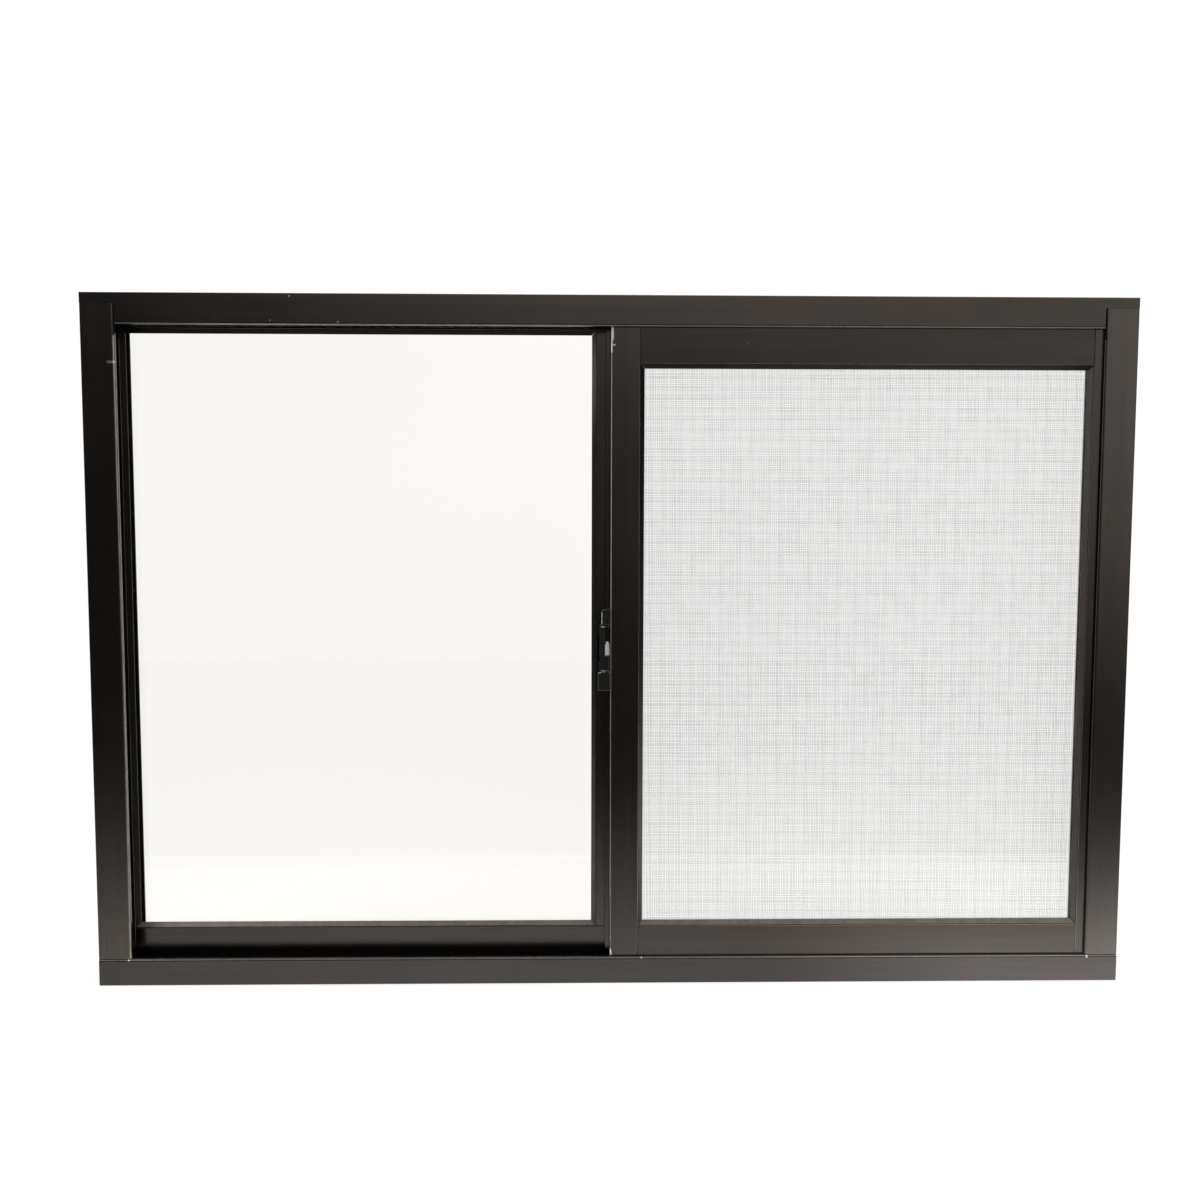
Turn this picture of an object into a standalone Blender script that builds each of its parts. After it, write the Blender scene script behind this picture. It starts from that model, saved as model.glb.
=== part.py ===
"""Aluminium sliding window, seen from its room side.

A fixed light fills the left half and a sliding sash the right half.
X runs along the width, Y runs from the room into the wall, Z is up.
The origin is on the back face of the sill flange, at the middle of the width.
Every bar is a real extrusion: an outline in its own (u, v) plane, where u is
the depth along Y and v the distance inwards from the bar's outer edge.
"""
import math

import bmesh
import bpy
from mathutils import Vector

MM = 0.001

# Outer frame
WINDOW_WIDTH = 900 * MM
WINDOW_HEIGHT = 600 * MM
FRAME_DEPTH = 60 * MM
WALL = 1.5 * MM
FIT = 0.3 * MM
FLANGE_THICKNESS = 1.6 * MM
FLANGE_SEAT = 12 * MM
FLANGE_RADIUS = 0.6 * MM
SILL_FLANGE = 23.6 * MM
HEAD_FLANGE = 26.6 * MM
JAMB_FLANGE = 28.7 * MM
HEAD_STRIP = 9 * MM
LIP_DEPTH = 1.8 * MM
LIP_RADIUS = 2 * MM
EDGE_RADIUS = 0.6 * MM

# Glazing pockets of the fixed light
GLAZING_FACE = 19.2 * MM
GLASS_THICKNESS = 4 * MM
FIXED_GLASS_SETBACK = 5 * MM
SILL_LEG = 45 * MM
HEAD_LEG = 27.4 * MM
JAMB_LEG = 25.8 * MM
SILL_SHELF = 34 * MM
REAR_LEG_RISE = 1.5 * MM
GLASS_EDGE_COVER = 4 * MM

# Tracks and screw ports of sill and head
TRACK_RIB = 1.5 * MM
SILL_RIB_TOP = 19 * MM
HEAD_RIB_TOP = 27 * MM
SCREEN_RIB_TOP = 20.5 * MM
REAR_LIP_TOP = 22 * MM
PORT_RADIUS = 2.5 * MM
PORT_BORE = 1.5 * MM
PORT_OPENING = math.radians(35)
PORT_SEGMENTS = 6
WEEP_LENGTH = 26 * MM
WEEP_HEIGHT = 4 * MM
WEEP_PLACES = (-0.36, -0.12, 0.12, 0.36)

# Mullion between the fixed light and the sash
MULLION_FACE_EDGE = -14.1 * MM
MULLION_WIDTH = 25.8 * MM
MULLION_POCKET = 8.8 * MM
MULLION_HOOK_TIP = 5.5 * MM
MULLION_HOOK_OFFSET = 6.5 * MM
MULLION_SCREEN_LEG = 15.3 * MM
INTERLOCK_WALL = 1.2 * MM
INTERLOCK_GAP = 0.85 * MM
STRIKE_LENGTH = 24 * MM
STRIKE_WIDTH = 4 * MM

# Sliding sash
SASH_FRONT = LIP_DEPTH + 2 * FIT
SASH_DEPTH = 12 * MM
SASH_OVERLAP = 12.1 * MM
SASH_JAMB_CLEARANCE = 1.5 * MM
SASH_BOTTOM_HEIGHT = 18 * MM
SASH_TOP_DROP = 21.5 * MM
MEETING_STILE = 25 * MM
CLOSING_STILE = 21 * MM
STILE_RADIUS = 1.4 * MM
TOP_RAIL = 35.6 * MM
BOTTOM_RAIL = 32.5 * MM
SASH_POCKET = 7 * MM
SASH_GLASS_SETBACK = 5.7 * MM
BOTTOM_CHANNEL = 12 * MM
TOP_CHANNEL = 14.5 * MM
STILE_HOOK_OFFSET = 3.7 * MM
STILE_HOOK_TIP = 5 * MM
GLIDE_LENGTH = 48 * MM
GLIDE_INSET = 30 * MM
GLIDE_FOOT = 3 * MM

# Snap-in glazing beads, the same section all round
BEAD_FACE = 4 * MM
BEAD_WALL = 1 * MM
BEAD_LIP = 2.2 * MM
BEAD_LEG = 4.5 * MM

# Pile weatherstrip and its channel
PILE_BASE = 5.2 * MM
PILE_BRUSH = 3.2 * MM
PILE_BASE_THICKNESS = 0.5 * MM
PILE_HOOK = 2 * MM
PILE_HOOK_WALL = 0.8 * MM
PILE_HOOK_LIP = 1 * MM
BOTTOM_PILE_PLACE = 5 * MM
TOP_PILE_PLACE = 4 * MM
CLOSING_PILE_PLACE = 4.2 * MM

# Insect screen in the rear track
SCREEN_REAR_GAP = 5.3 * MM
SCREEN_DEPTH = 7 * MM
SCREEN_BAR = 8 * MM
SCREEN_WALL = 1 * MM
SCREEN_TOP_DROP = 17 * MM
SPLINE_GROOVE = 2.4 * MM
SPLINE_GROOVE_DEPTH = 2.6 * MM
SPLINE_RADIUS = 0.95 * MM
MESH_THICKNESS = 0.4 * MM
MESH_STRAND = 4 * MM
MESH_COLUMNS = 8
MESH_ROWS = 11
CORNER_LEG = 15 * MM

# Latch on the edge of the meeting stile
LATCH_BOTTOM_HEIGHT = 260.5 * MM
LATCH_HEIGHT = 71.1 * MM
LATCH_PLATE = 1.2 * MM
LATCH_LUG_HEIGHT = 13 * MM
LATCH_LUG_REACH = 7.4 * MM
LATCH_CORNER = 2.2 * MM
LATCH_SETBACK = 1 * MM
LATCH_REAR_GAP = 1 * MM
LEVER_REACH = 8.8 * MM
LEVER_SETBACK = 2.4 * MM
GRIP_REACH = 10.2 * MM
GRIP_HEIGHT = 15.6 * MM
GRIP_SLOPE = 1.8 * MM
GRIP_SETBACK = 0.7 * MM
LEVER_WINDOW_BOTTOM = 30.6 * MM
LEVER_WINDOW_TOP = 55.5 * MM
LEVER_WINDOW_DEPTH = 5.5 * MM
LEVER_SPINE = 4.5 * MM
TONGUE_HEIGHT = 9.4 * MM
TONGUE_HEAD = 2.4 * MM
TONGUE_HEAD_INSET = 0.7 * MM
TONGUE_DEPTH = 3.5 * MM

# Places worked out from the sizes above
LEFT = -WINDOW_WIDTH / 2
RIGHT = WINDOW_WIDTH / 2
BOTTOM = -FLANGE_SEAT / 2
TOP = BOTTOM + WINDOW_HEIGHT
WEB = FLANGE_SEAT + WALL
REAR_LEG = GLAZING_FACE + FIXED_GLASS_SETBACK + GLASS_THICKNESS + FIT
SASH_CENTRE = SASH_FRONT + SASH_DEPTH / 2
SASH_LEFT = MULLION_FACE_EDGE + SASH_OVERLAP
SASH_RIGHT = RIGHT - WEB - SASH_JAMB_CLEARANCE
SASH_BOTTOM = BOTTOM + SASH_BOTTOM_HEIGHT
SASH_TOP = TOP - SASH_TOP_DROP
SASH_REAR_LIP = SASH_GLASS_SETBACK + GLASS_THICKNESS + FIT
MULLION_HOOK_PLACE = SASH_OVERLAP + MULLION_HOOK_OFFSET
MULLION_HOOK_REACH = 2 * (INTERLOCK_WALL + INTERLOCK_GAP)
STILE_HOOK_DEPTH = GLAZING_FACE - SASH_FRONT - SASH_DEPTH - INTERLOCK_GAP
SCREEN_LEFT = MULLION_FACE_EDGE + MULLION_SCREEN_LEG
SCREEN_RIGHT = RIGHT - WEB - FIT
SCREEN_BOTTOM = BOTTOM + SCREEN_RIB_TOP + FIT
SCREEN_TOP = TOP - SCREEN_TOP_DROP
SCREEN_FRONT = FRAME_DEPTH - WALL - SCREEN_REAR_GAP - SCREEN_DEPTH
SCREEN_CENTRE = SCREEN_FRONT + SCREEN_DEPTH / 2
FRONT_PORT = GLAZING_FACE - PORT_RADIUS - FIT
REAR_PORT = REAR_LEG + WALL + PORT_RADIUS + FIT
LATCH_DEPTH = SASH_DEPTH - WALL - LATCH_REAR_GAP - LATCH_SETBACK
QUARTER = math.pi / 2
FACING = {"bottom": 0.0, "left": QUARTER, "top": math.pi, "right": -QUARTER}
ARC_SEGMENTS = 4


def clear_scene():
    for thing in list(bpy.data.objects):
        bpy.data.objects.remove(thing, do_unlink=True)


def make_material(name, colour, roughness, metallic, transmission=0.0):
    material = bpy.data.materials.new(name)
    material.use_nodes = True
    shader = material.node_tree.nodes["Principled BSDF"]
    shader.inputs["Base Color"].default_value = (*colour, 1.0)
    shader.inputs["Roughness"].default_value = roughness
    shader.inputs["Metallic"].default_value = metallic
    shader.inputs["Transmission Weight"].default_value = transmission
    return material


def rounded(points):
    """Turn (u, v, radius) corners into arcs; plain (u, v) corners stay sharp."""
    path = []
    for index, point in enumerate(points):
        corner = Vector(point[:2])
        if len(point) < 3:
            path.append(corner)
            continue
        before = (Vector(points[index - 1][:2]) - corner).normalized()
        after = (Vector(points[(index + 1) % len(points)][:2]) - corner).normalized()
        half_angle = before.angle(after) / 2
        centre = corner + (before + after).normalized() * (point[2] / math.sin(half_angle))
        reach = point[2] / math.tan(half_angle)
        start = corner + before * reach - centre
        end = corner + after * reach - centre
        turn = start.angle_signed(end)
        for step in range(ARC_SEGMENTS + 1):
            share = -turn * step / ARC_SEGMENTS
            spoke = Vector((start.x * math.cos(share) - start.y * math.sin(share),
                            start.x * math.sin(share) + start.y * math.cos(share)))
            path.append(centre + spoke)
    return path


def fill_outline(mesh, loops, to_point):
    """Draw the outline and its holes as one flat face region."""
    edges = []
    for loop in loops:
        corners = [mesh.verts.new(to_point(*point)) for point in rounded(loop)]
        edges += [mesh.edges.new((corners[i - 1], corners[i])) for i in range(len(corners))]
    bmesh.ops.triangle_fill(mesh, use_beauty=True, use_dissolve=False, edges=edges)
    return list(mesh.faces)


def finish_object(name, mesh, material, parent):
    bmesh.ops.recalc_face_normals(mesh, faces=mesh.faces)
    data = bpy.data.meshes.new(name)
    mesh.to_mesh(data)
    mesh.free()
    data.materials.append(material)
    thing = bpy.data.objects.new(name, data)
    bpy.context.collection.objects.link(thing)
    thing.parent = parent
    return thing


def push_region(mesh, faces, vector):
    grown = bmesh.ops.extrude_face_region(mesh, geom=faces)["geom"]
    moved = [item for item in grown if isinstance(item, bmesh.types.BMVert)]
    bmesh.ops.translate(mesh, verts=moved, vec=vector)


def bar(name, loops, length, side, place, material, parent, mitre=False):
    """Extrude an outline along local X, centred, and turn it to its side of the opening."""
    mesh = bmesh.new()
    faces = fill_outline(mesh, loops, lambda u, v: (-length / 2, u, v))
    push_region(mesh, faces, (length, 0, 0))
    if mitre:
        for corner in mesh.verts:
            shortened = length / 2 - corner.co.z - FIT / 2
            corner.co.x = math.copysign(shortened, corner.co.x)
    thing = finish_object(name, mesh, material, parent)
    thing.rotation_euler = (0, FACING[side], 0)
    thing.location = place
    return thing


def plate(name, loop, front, depth, place, material, parent):
    """Extrude an outline drawn in X and Z towards the back."""
    mesh = bmesh.new()
    faces = fill_outline(mesh, [loop], lambda x, z: (x, front, z))
    push_region(mesh, faces, (0, depth, 0))
    thing = finish_object(name, mesh, material, parent)
    thing.location = place
    return thing


def box_tool(owner, label, low, high):
    """A hidden box that rides on its owner and is used by a Boolean."""
    mesh = bmesh.new()
    bmesh.ops.create_cube(mesh, size=1)
    size = Vector(high) - Vector(low)
    bmesh.ops.scale(mesh, vec=size, verts=mesh.verts)
    bmesh.ops.translate(mesh, vec=Vector(low) + size / 2, verts=mesh.verts)
    data = bpy.data.meshes.new(label)
    mesh.to_mesh(data)
    mesh.free()
    tool = bpy.data.objects.new(label, data)
    bpy.context.collection.objects.link(tool)
    tool.parent = owner
    tool.hide_render = True
    tool.display_type = "WIRE"
    return tool


def combine(owner, low, high, operation="DIFFERENCE"):
    number = len(owner.modifiers) + 1
    tool = box_tool(owner, f"{owner.name}_tool_{number}", low, high)
    step = owner.modifiers.new(f"{operation.lower()}_{number}", "BOOLEAN")
    step.operation = operation
    step.solver = "EXACT"
    step.object = tool
    return owner


def cope_ends(owner, length, keep, depth_range, height_range):
    """Cut the same notch into both ends of a bar, `keep` in from each end."""
    past = length / 2 + WALL
    for sign in (-1, 1):
        low = (min(sign * past, sign * (length / 2 - keep)), depth_range[0], height_range[0])
        high = (max(sign * past, sign * (length / 2 - keep)), depth_range[1], height_range[1])
        combine(owner, low, high)


def notch_upright(owner, side, middle, depth_range, height_range, low_z, high_z):
    """Cut a box out of an upright bar between two heights of the window."""
    turn = -1 if side == "left" else 1
    ends = sorted((turn * (low_z - middle), turn * (high_z - middle)))
    combine(owner, (ends[0], depth_range[0], height_range[0]), (ends[1], depth_range[1], height_range[1]))


def screw_port(centre_u, base_v):
    """An open C for a screw, standing on a web, as points in rising u."""
    centre_v = base_v + PORT_RADIUS - FIT
    foot = math.asin((base_v - centre_v) / PORT_RADIUS)
    points = []
    lip = QUARTER + PORT_OPENING
    turns = [math.pi - foot + (lip - math.pi + foot) * i / PORT_SEGMENTS for i in range(PORT_SEGMENTS + 1)]
    for turn in turns:
        points.append((centre_u + PORT_RADIUS * math.cos(turn), centre_v + PORT_RADIUS * math.sin(turn)))
    sweep = 2 * (math.pi - PORT_OPENING)
    for step in range(2 * PORT_SEGMENTS + 1):
        turn = lip + sweep * step / (2 * PORT_SEGMENTS)
        points.append((centre_u + PORT_BORE * math.cos(turn), centre_v + PORT_BORE * math.sin(turn)))
    for turn in reversed(turns):
        points.append((centre_u - PORT_RADIUS * math.cos(turn), centre_v + PORT_RADIUS * math.sin(turn)))
    return points


def rib(centre_u, base_v, top_v):
    half = TRACK_RIB / 2
    return [(centre_u - half, base_v), (centre_u - half, top_v),
            (centre_u + half, top_v), (centre_u + half, base_v)]


def frame_outline(flange, leg, shelf=None, front_rib=None, screen_rib=None, ports=False):
    """Outline of sill, head or jamb: flange, web, glazing pocket and rear lip, and a chamber under a shelf."""
    floor = shelf or WEB
    points = [(-FLANGE_THICKNESS, 0, FLANGE_RADIUS),
              (-FLANGE_THICKNESS, flange, LIP_RADIUS),
              (LIP_DEPTH, flange),
              (LIP_DEPTH, flange - WALL),
              (0, flange - WALL),
              (0, WEB)]
    if front_rib:
        points += rib(SASH_CENTRE, WEB, front_rib)
    if ports:
        points += screw_port(FRONT_PORT, WEB)
    points += [(GLAZING_FACE, WEB),
               (GLAZING_FACE, leg, EDGE_RADIUS),
               (GLAZING_FACE + WALL, leg),
               (GLAZING_FACE + WALL, floor),
               (REAR_LEG, floor),
               (REAR_LEG, leg + REAR_LEG_RISE),
               (REAR_LEG + WALL, leg + REAR_LEG_RISE),
               (REAR_LEG + WALL, WEB)]
    if ports:
        points += screw_port(REAR_PORT, WEB)
    if screen_rib:
        points += rib(SCREEN_CENTRE, WEB, screen_rib)
    points += [(FRAME_DEPTH - WALL, WEB),
               (FRAME_DEPTH - WALL, REAR_LIP_TOP),
               (FRAME_DEPTH, REAR_LIP_TOP),
               (FRAME_DEPTH, FLANGE_SEAT),
               (0, FLANGE_SEAT),
               (0, 0)]
    if not shelf:
        return [points]
    chamber = [(GLAZING_FACE + WALL, WEB), (GLAZING_FACE + WALL, shelf - WALL),
               (REAR_LEG, shelf - WALL), (REAR_LEG, WEB)]
    return [points, chamber]


def make_frame(finish, parent):
    far = FRAME_DEPTH + WALL
    tall = WINDOW_HEIGHT / 2
    floor = WEB - FIT
    front_leg = (GLAZING_FACE - FIT / 2, REAR_LEG - FIT / 2)
    rear_leg = (REAR_LEG - FIT, REAR_LEG + WALL + FIT)
    rear_lip = (FRAME_DEPTH - 2 * WALL, far)
    beside_web = WEB + FIT

    sill = bar("frame_sill", frame_outline(SILL_FLANGE, SILL_LEG, SILL_SHELF, SILL_RIB_TOP, SCREEN_RIB_TOP, True),
               WINDOW_WIDTH, "bottom", (0, 0, BOTTOM), finish, parent)
    head = bar("frame_head", frame_outline(HEAD_FLANGE, HEAD_LEG, None, HEAD_RIB_TOP, None, True),
               WINDOW_WIDTH, "top", (0, 0, TOP), finish, parent)
    for member in (sill, head):
        cope_ends(member, WINDOW_WIDTH, beside_web, (FIT, far), (-WALL, tall))
        cope_ends(member, WINDOW_WIDTH, JAMB_LEG + FIT, front_leg, (floor, tall))
        cope_ends(member, WINDOW_WIDTH, JAMB_LEG + REAR_LEG_RISE + FIT, rear_leg, (floor, tall))
        cope_ends(member, WINDOW_WIDTH, REAR_LIP_TOP + FIT, rear_lip, (floor, tall))
    cope_ends(head, WINDOW_WIDTH, JAMB_FLANGE + FIT, (-2 * FLANGE_THICKNESS, FIT),
              (HEAD_STRIP, HEAD_FLANGE + WALL))
    cope_ends(head, WINDOW_WIDTH, JAMB_FLANGE + FIT, (0, LIP_DEPTH + WALL),
              (WEB + WALL, HEAD_FLANGE + 2 * WALL))
    for share in WEEP_PLACES:
        middle = share * WINDOW_WIDTH
        combine(sill, (middle - WEEP_LENGTH / 2, FRAME_DEPTH - 2 * WALL, WEB + WALL),
                (middle + WEEP_LENGTH / 2, far, WEB + WALL + WEEP_HEIGHT))

    foot = BOTTOM + FLANGE_SEAT
    cap = TOP - HEAD_STRIP - FIT
    length = cap - foot
    for side, edge in (("left", LEFT), ("right", RIGHT)):
        jamb = bar(f"frame_{side}_jamb", frame_outline(JAMB_FLANGE, JAMB_LEG), length, side,
                   (edge, 0, (foot + cap) / 2), finish, parent)
        below = foot - WALL
        above = cap + WALL
        flange = ((-2 * FLANGE_THICKNESS, 2 * FIT), (-WALL, tall))
        lip = ((FIT, LIP_DEPTH + WALL), (WEB + WALL, tall))
        legs = ((GLAZING_FACE - FIT, far), (floor, tall))
        web = ((FIT, far), (-WALL, tall))
        cuts = [(flange, below, BOTTOM + SILL_FLANGE + FIT),
                (lip, below, BOTTOM + SILL_FLANGE + WALL),
                (legs, below, BOTTOM + WEB + FIT),
                (web, TOP - FLANGE_SEAT, above),
                (lip, TOP - HEAD_FLANGE - FIT, above),
                (legs, TOP - WEB - FIT, above)]
        for (depth_range, height_range), low_z, high_z in cuts:
            notch_upright(jamb, side, (foot + cap) / 2, depth_range, height_range, low_z, high_z)


def bead_outline(setback):
    """A snap-in bead: sloping face, lip against the glass, leg down in the pocket."""
    lip = setback - FIT
    foot = WALL + FIT
    inner = foot + BEAD_WALL + FIT
    return [(2 * FIT, FIT),
            (lip - BEAD_WALL, BEAD_FACE),
            (lip, BEAD_FACE),
            (lip, BEAD_FACE - BEAD_LIP),
            (lip - BEAD_WALL, BEAD_FACE - BEAD_LIP),
            (inner, FIT),
            (inner, -BEAD_LEG),
            (foot, -BEAD_LEG),
            (foot, FIT)]


def make_glazing(prefix, opening, face, setback, glass, bead, parent):
    """A pane and its four mitred beads for an opening given leg to leg."""
    left, right, bottom, top = opening
    middle_x = (left + right) / 2
    middle_z = (bottom + top) / 2
    places = {"bottom": (right - left, (middle_x, face, bottom)),
              "top": (right - left, (middle_x, face, top)),
              "left": (top - bottom, (left, face, middle_z)),
              "right": (top - bottom, (right, face, middle_z))}
    for side, (length, place) in places.items():
        bar(f"{prefix}_bead_{side}", [bead_outline(setback)], length, side, place, bead, parent, mitre=True)
    half_x = (right - left) / 2 + GLASS_EDGE_COVER
    half_z = (top - bottom) / 2 + GLASS_EDGE_COVER
    pane = [(-half_x, -half_z), (half_x, -half_z), (half_x, half_z), (-half_x, half_z)]
    plate(f"{prefix}_glass", pane, 0, GLASS_THICKNESS, (middle_x, face + setback, middle_z), glass, parent)


def mullion_outline():
    rear = REAR_LEG - GLAZING_FACE
    hook_in = MULLION_HOOK_PLACE
    hook_out = hook_in + INTERLOCK_WALL
    leg = MULLION_SCREEN_LEG
    leg_end = SCREEN_FRONT - GLAZING_FACE - FIT
    outer = [(0, 0),
             (0, hook_in),
             (INTERLOCK_WALL - MULLION_HOOK_REACH, hook_in),
             (INTERLOCK_WALL - MULLION_HOOK_REACH, hook_in - MULLION_HOOK_TIP),
             (-MULLION_HOOK_REACH, hook_in - MULLION_HOOK_TIP),
             (-MULLION_HOOK_REACH, hook_out),
             (0, hook_out),
             (0, MULLION_WIDTH),
             (rear + WALL, MULLION_WIDTH),
             (rear + WALL, leg + INTERLOCK_WALL),
             (leg_end, leg + INTERLOCK_WALL),
             (leg_end, leg),
             (rear + WALL, leg),
             (rear + WALL, -REAR_LEG_RISE),
             (rear, -REAR_LEG_RISE),
             (rear, MULLION_POCKET),
             (WALL, MULLION_POCKET),
             (WALL, 0)]
    chamber = [(WALL, MULLION_POCKET + WALL), (WALL, MULLION_WIDTH - WALL),
               (rear, MULLION_WIDTH - WALL), (rear, MULLION_POCKET + WALL)]
    return [outer, chamber]


def make_mullion(finish, parent):
    low = BOTTOM + SILL_LEG + FIT
    high = TOP - HEAD_LEG - FIT
    length = high - low
    middle = (low + high) / 2
    mullion = bar("fixed_mullion", mullion_outline(), length, "left",
                  (MULLION_FACE_EDGE, GLAZING_FACE, middle), finish, parent)
    rear = REAR_LEG - GLAZING_FACE
    wide = (-2 * REAR_LEG_RISE, MULLION_WIDTH + WALL)
    cope_ends(mullion, length, REAR_LEG_RISE, (rear - FIT, FRAME_DEPTH), wide)
    clear_of_rails = max(SASH_BOTTOM + BOTTOM_RAIL - low, high - SASH_TOP + TOP_RAIL) + WALL
    cope_ends(mullion, length, clear_of_rails, (-2 * MULLION_HOOK_REACH, 0), wide)
    strike = middle - (BOTTOM + LATCH_BOTTOM_HEIGHT + LATCH_HEIGHT / 2)
    combine(mullion, (strike - STRIKE_LENGTH / 2, -WALL, WALL),
            (strike + STRIKE_LENGTH / 2, 2 * WALL, WALL + STRIKE_WIDTH))


def pile_channel(face_u, centre_v):
    """Two hooks on a rear face that hold the pile, as points in falling v."""
    half = PILE_BASE / 2 + FIT
    return [(face_u, centre_v + half + PILE_HOOK_WALL),
            (face_u + PILE_HOOK, centre_v + half + PILE_HOOK_WALL),
            (face_u + PILE_HOOK, centre_v + half - PILE_HOOK_LIP),
            (face_u + PILE_HOOK - PILE_HOOK_WALL, centre_v + half - PILE_HOOK_LIP),
            (face_u + PILE_HOOK - PILE_HOOK_WALL, centre_v + half),
            (face_u, centre_v + half),
            (face_u, centre_v - half),
            (face_u + PILE_HOOK - PILE_HOOK_WALL, centre_v - half),
            (face_u + PILE_HOOK - PILE_HOOK_WALL, centre_v - half + PILE_HOOK_LIP),
            (face_u + PILE_HOOK, centre_v - half + PILE_HOOK_LIP),
            (face_u + PILE_HOOK, centre_v - half - PILE_HOOK_WALL),
            (face_u, centre_v - half - PILE_HOOK_WALL)]


def pile_outline(centre_v):
    base = SASH_DEPTH + FIT
    brush_end = GLAZING_FACE - SASH_FRONT - FIT
    return [(base, centre_v - PILE_BASE / 2),
            (base + PILE_BASE_THICKNESS, centre_v - PILE_BASE / 2),
            (base + PILE_BASE_THICKNESS, centre_v - PILE_BRUSH / 2),
            (brush_end, centre_v - PILE_BRUSH / 2),
            (brush_end, centre_v + PILE_BRUSH / 2),
            (base + PILE_BASE_THICKNESS, centre_v + PILE_BRUSH / 2),
            (base + PILE_BASE_THICKNESS, centre_v + PILE_BASE / 2),
            (base, centre_v + PILE_BASE / 2)]


def pocket_points(width):
    """Front wall, glazing pocket and rear lip that every sash bar shares."""
    floor = width - SASH_POCKET
    return [(0, 0, STILE_RADIUS),
            (0, width, EDGE_RADIUS),
            (WALL, width),
            (WALL, floor),
            (SASH_REAR_LIP, floor),
            (SASH_REAR_LIP, width + REAR_LEG_RISE),
            (SASH_REAR_LIP + WALL, width + REAR_LEG_RISE),
            (SASH_REAR_LIP + WALL, floor),
            (SASH_DEPTH, floor)]


def rail_outline(width, channel, pile):
    low = channel + WALL
    high = width - SASH_POCKET - WALL
    rear = SASH_DEPTH - WALL
    outer = pocket_points(width)
    outer[0] = (0, 0)
    outer += pile_channel(SASH_DEPTH, pile)
    outer += [(SASH_DEPTH, 0), (rear, 0), (rear, channel), (WALL, channel), (WALL, 0)]
    chamber = [(WALL, low)] + screw_port(SASH_DEPTH / 2, low) + [(rear, low), (rear, high), (WALL, high)]
    return [outer, chamber]


def closing_stile_outline():
    outer = pocket_points(CLOSING_STILE) + pile_channel(SASH_DEPTH, CLOSING_PILE_PLACE)
    outer += [(SASH_DEPTH, 0)]
    far = CLOSING_STILE - SASH_POCKET - WALL
    rear = SASH_DEPTH - WALL
    return [outer, [(WALL, WALL), (WALL, far), (rear, far), (rear, WALL)]]


def meeting_stile_outline():
    rear = SASH_DEPTH - WALL
    hook_wall = -STILE_HOOK_OFFSET
    hook_end = SASH_DEPTH + STILE_HOOK_DEPTH
    outer = pocket_points(MEETING_STILE)
    outer += [(SASH_DEPTH, hook_wall + INTERLOCK_WALL),
              (hook_end - INTERLOCK_WALL, hook_wall + INTERLOCK_WALL),
              (hook_end - INTERLOCK_WALL, hook_wall + INTERLOCK_WALL + STILE_HOOK_TIP),
              (hook_end, hook_wall + INTERLOCK_WALL + STILE_HOOK_TIP),
              (hook_end, hook_wall),
              (rear, hook_wall),
              (rear, 0)]
    far = MEETING_STILE - SASH_POCKET - WALL
    return [outer, [(WALL, WALL), (WALL, far), (rear, far), (rear, WALL)]]


def make_sash(finish, bead, glass, pile, plastic, parent):
    height = SASH_TOP - SASH_BOTTOM
    middle_z = (SASH_TOP + SASH_BOTTOM) / 2
    inner_left = SASH_LEFT + MEETING_STILE
    inner_right = SASH_RIGHT - CLOSING_STILE
    middle_x = (inner_left + inner_right) / 2
    rail_length = inner_right - inner_left - 2 * FIT
    face = SASH_FRONT

    meeting = bar("sash_meeting_stile", meeting_stile_outline(), height, "left",
                  (SASH_LEFT, face, middle_z), finish, parent)
    closing = bar("sash_closing_stile", closing_stile_outline(), height, "right",
                  (SASH_RIGHT, face, middle_z), finish, parent)
    slot = (SASH_DEPTH / 2 - TRACK_RIB, SASH_DEPTH / 2 + TRACK_RIB)
    across = (-2 * STILE_HOOK_OFFSET, 2 * MEETING_STILE)
    rear_lip = (SASH_REAR_LIP - FIT, SASH_REAR_LIP + WALL + FIT)
    for stile, side, width in ((meeting, "left", MEETING_STILE), (closing, "right", CLOSING_STILE)):
        notch_upright(stile, side, middle_z, slot, across, SASH_TOP - TOP_CHANNEL, SASH_TOP + WALL)
        notch_upright(stile, side, middle_z, slot, across, SASH_BOTTOM - WALL, BOTTOM + SILL_RIB_TOP + FIT)
        beyond = (width, width + 2 * REAR_LEG_RISE)
        notch_upright(stile, side, middle_z, rear_lip, beyond, SASH_BOTTOM - WALL,
                      SASH_BOTTOM + BOTTOM_RAIL + REAR_LEG_RISE + FIT)
        notch_upright(stile, side, middle_z, rear_lip, beyond,
                      SASH_TOP - TOP_RAIL - REAR_LEG_RISE - FIT, SASH_TOP + WALL)
    bar("sash_bottom_rail", rail_outline(BOTTOM_RAIL, BOTTOM_CHANNEL, BOTTOM_PILE_PLACE),
        rail_length, "bottom", (middle_x, face, SASH_BOTTOM), finish, parent)
    bar("sash_top_rail", rail_outline(TOP_RAIL, TOP_CHANNEL, TOP_PILE_PLACE),
        rail_length, "top", (middle_x, face, SASH_TOP), finish, parent)
    bar("sash_pile_bottom", [pile_outline(BOTTOM_PILE_PLACE)], rail_length, "bottom",
        (middle_x, face, SASH_BOTTOM), pile, parent)
    bar("sash_pile_top", [pile_outline(TOP_PILE_PLACE)], rail_length, "top",
        (middle_x, face, SASH_TOP), pile, parent)
    bar("sash_pile_closing", [pile_outline(CLOSING_PILE_PLACE)], height, "right",
        (SASH_RIGHT, face, middle_z), pile, parent)

    opening = (inner_left, inner_right, SASH_BOTTOM + BOTTOM_RAIL, SASH_TOP - TOP_RAIL)
    make_glazing("sash", opening, face, SASH_GLASS_SETBACK, glass, bead, parent)
    make_glides(inner_left, inner_right, plastic, parent)


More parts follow.
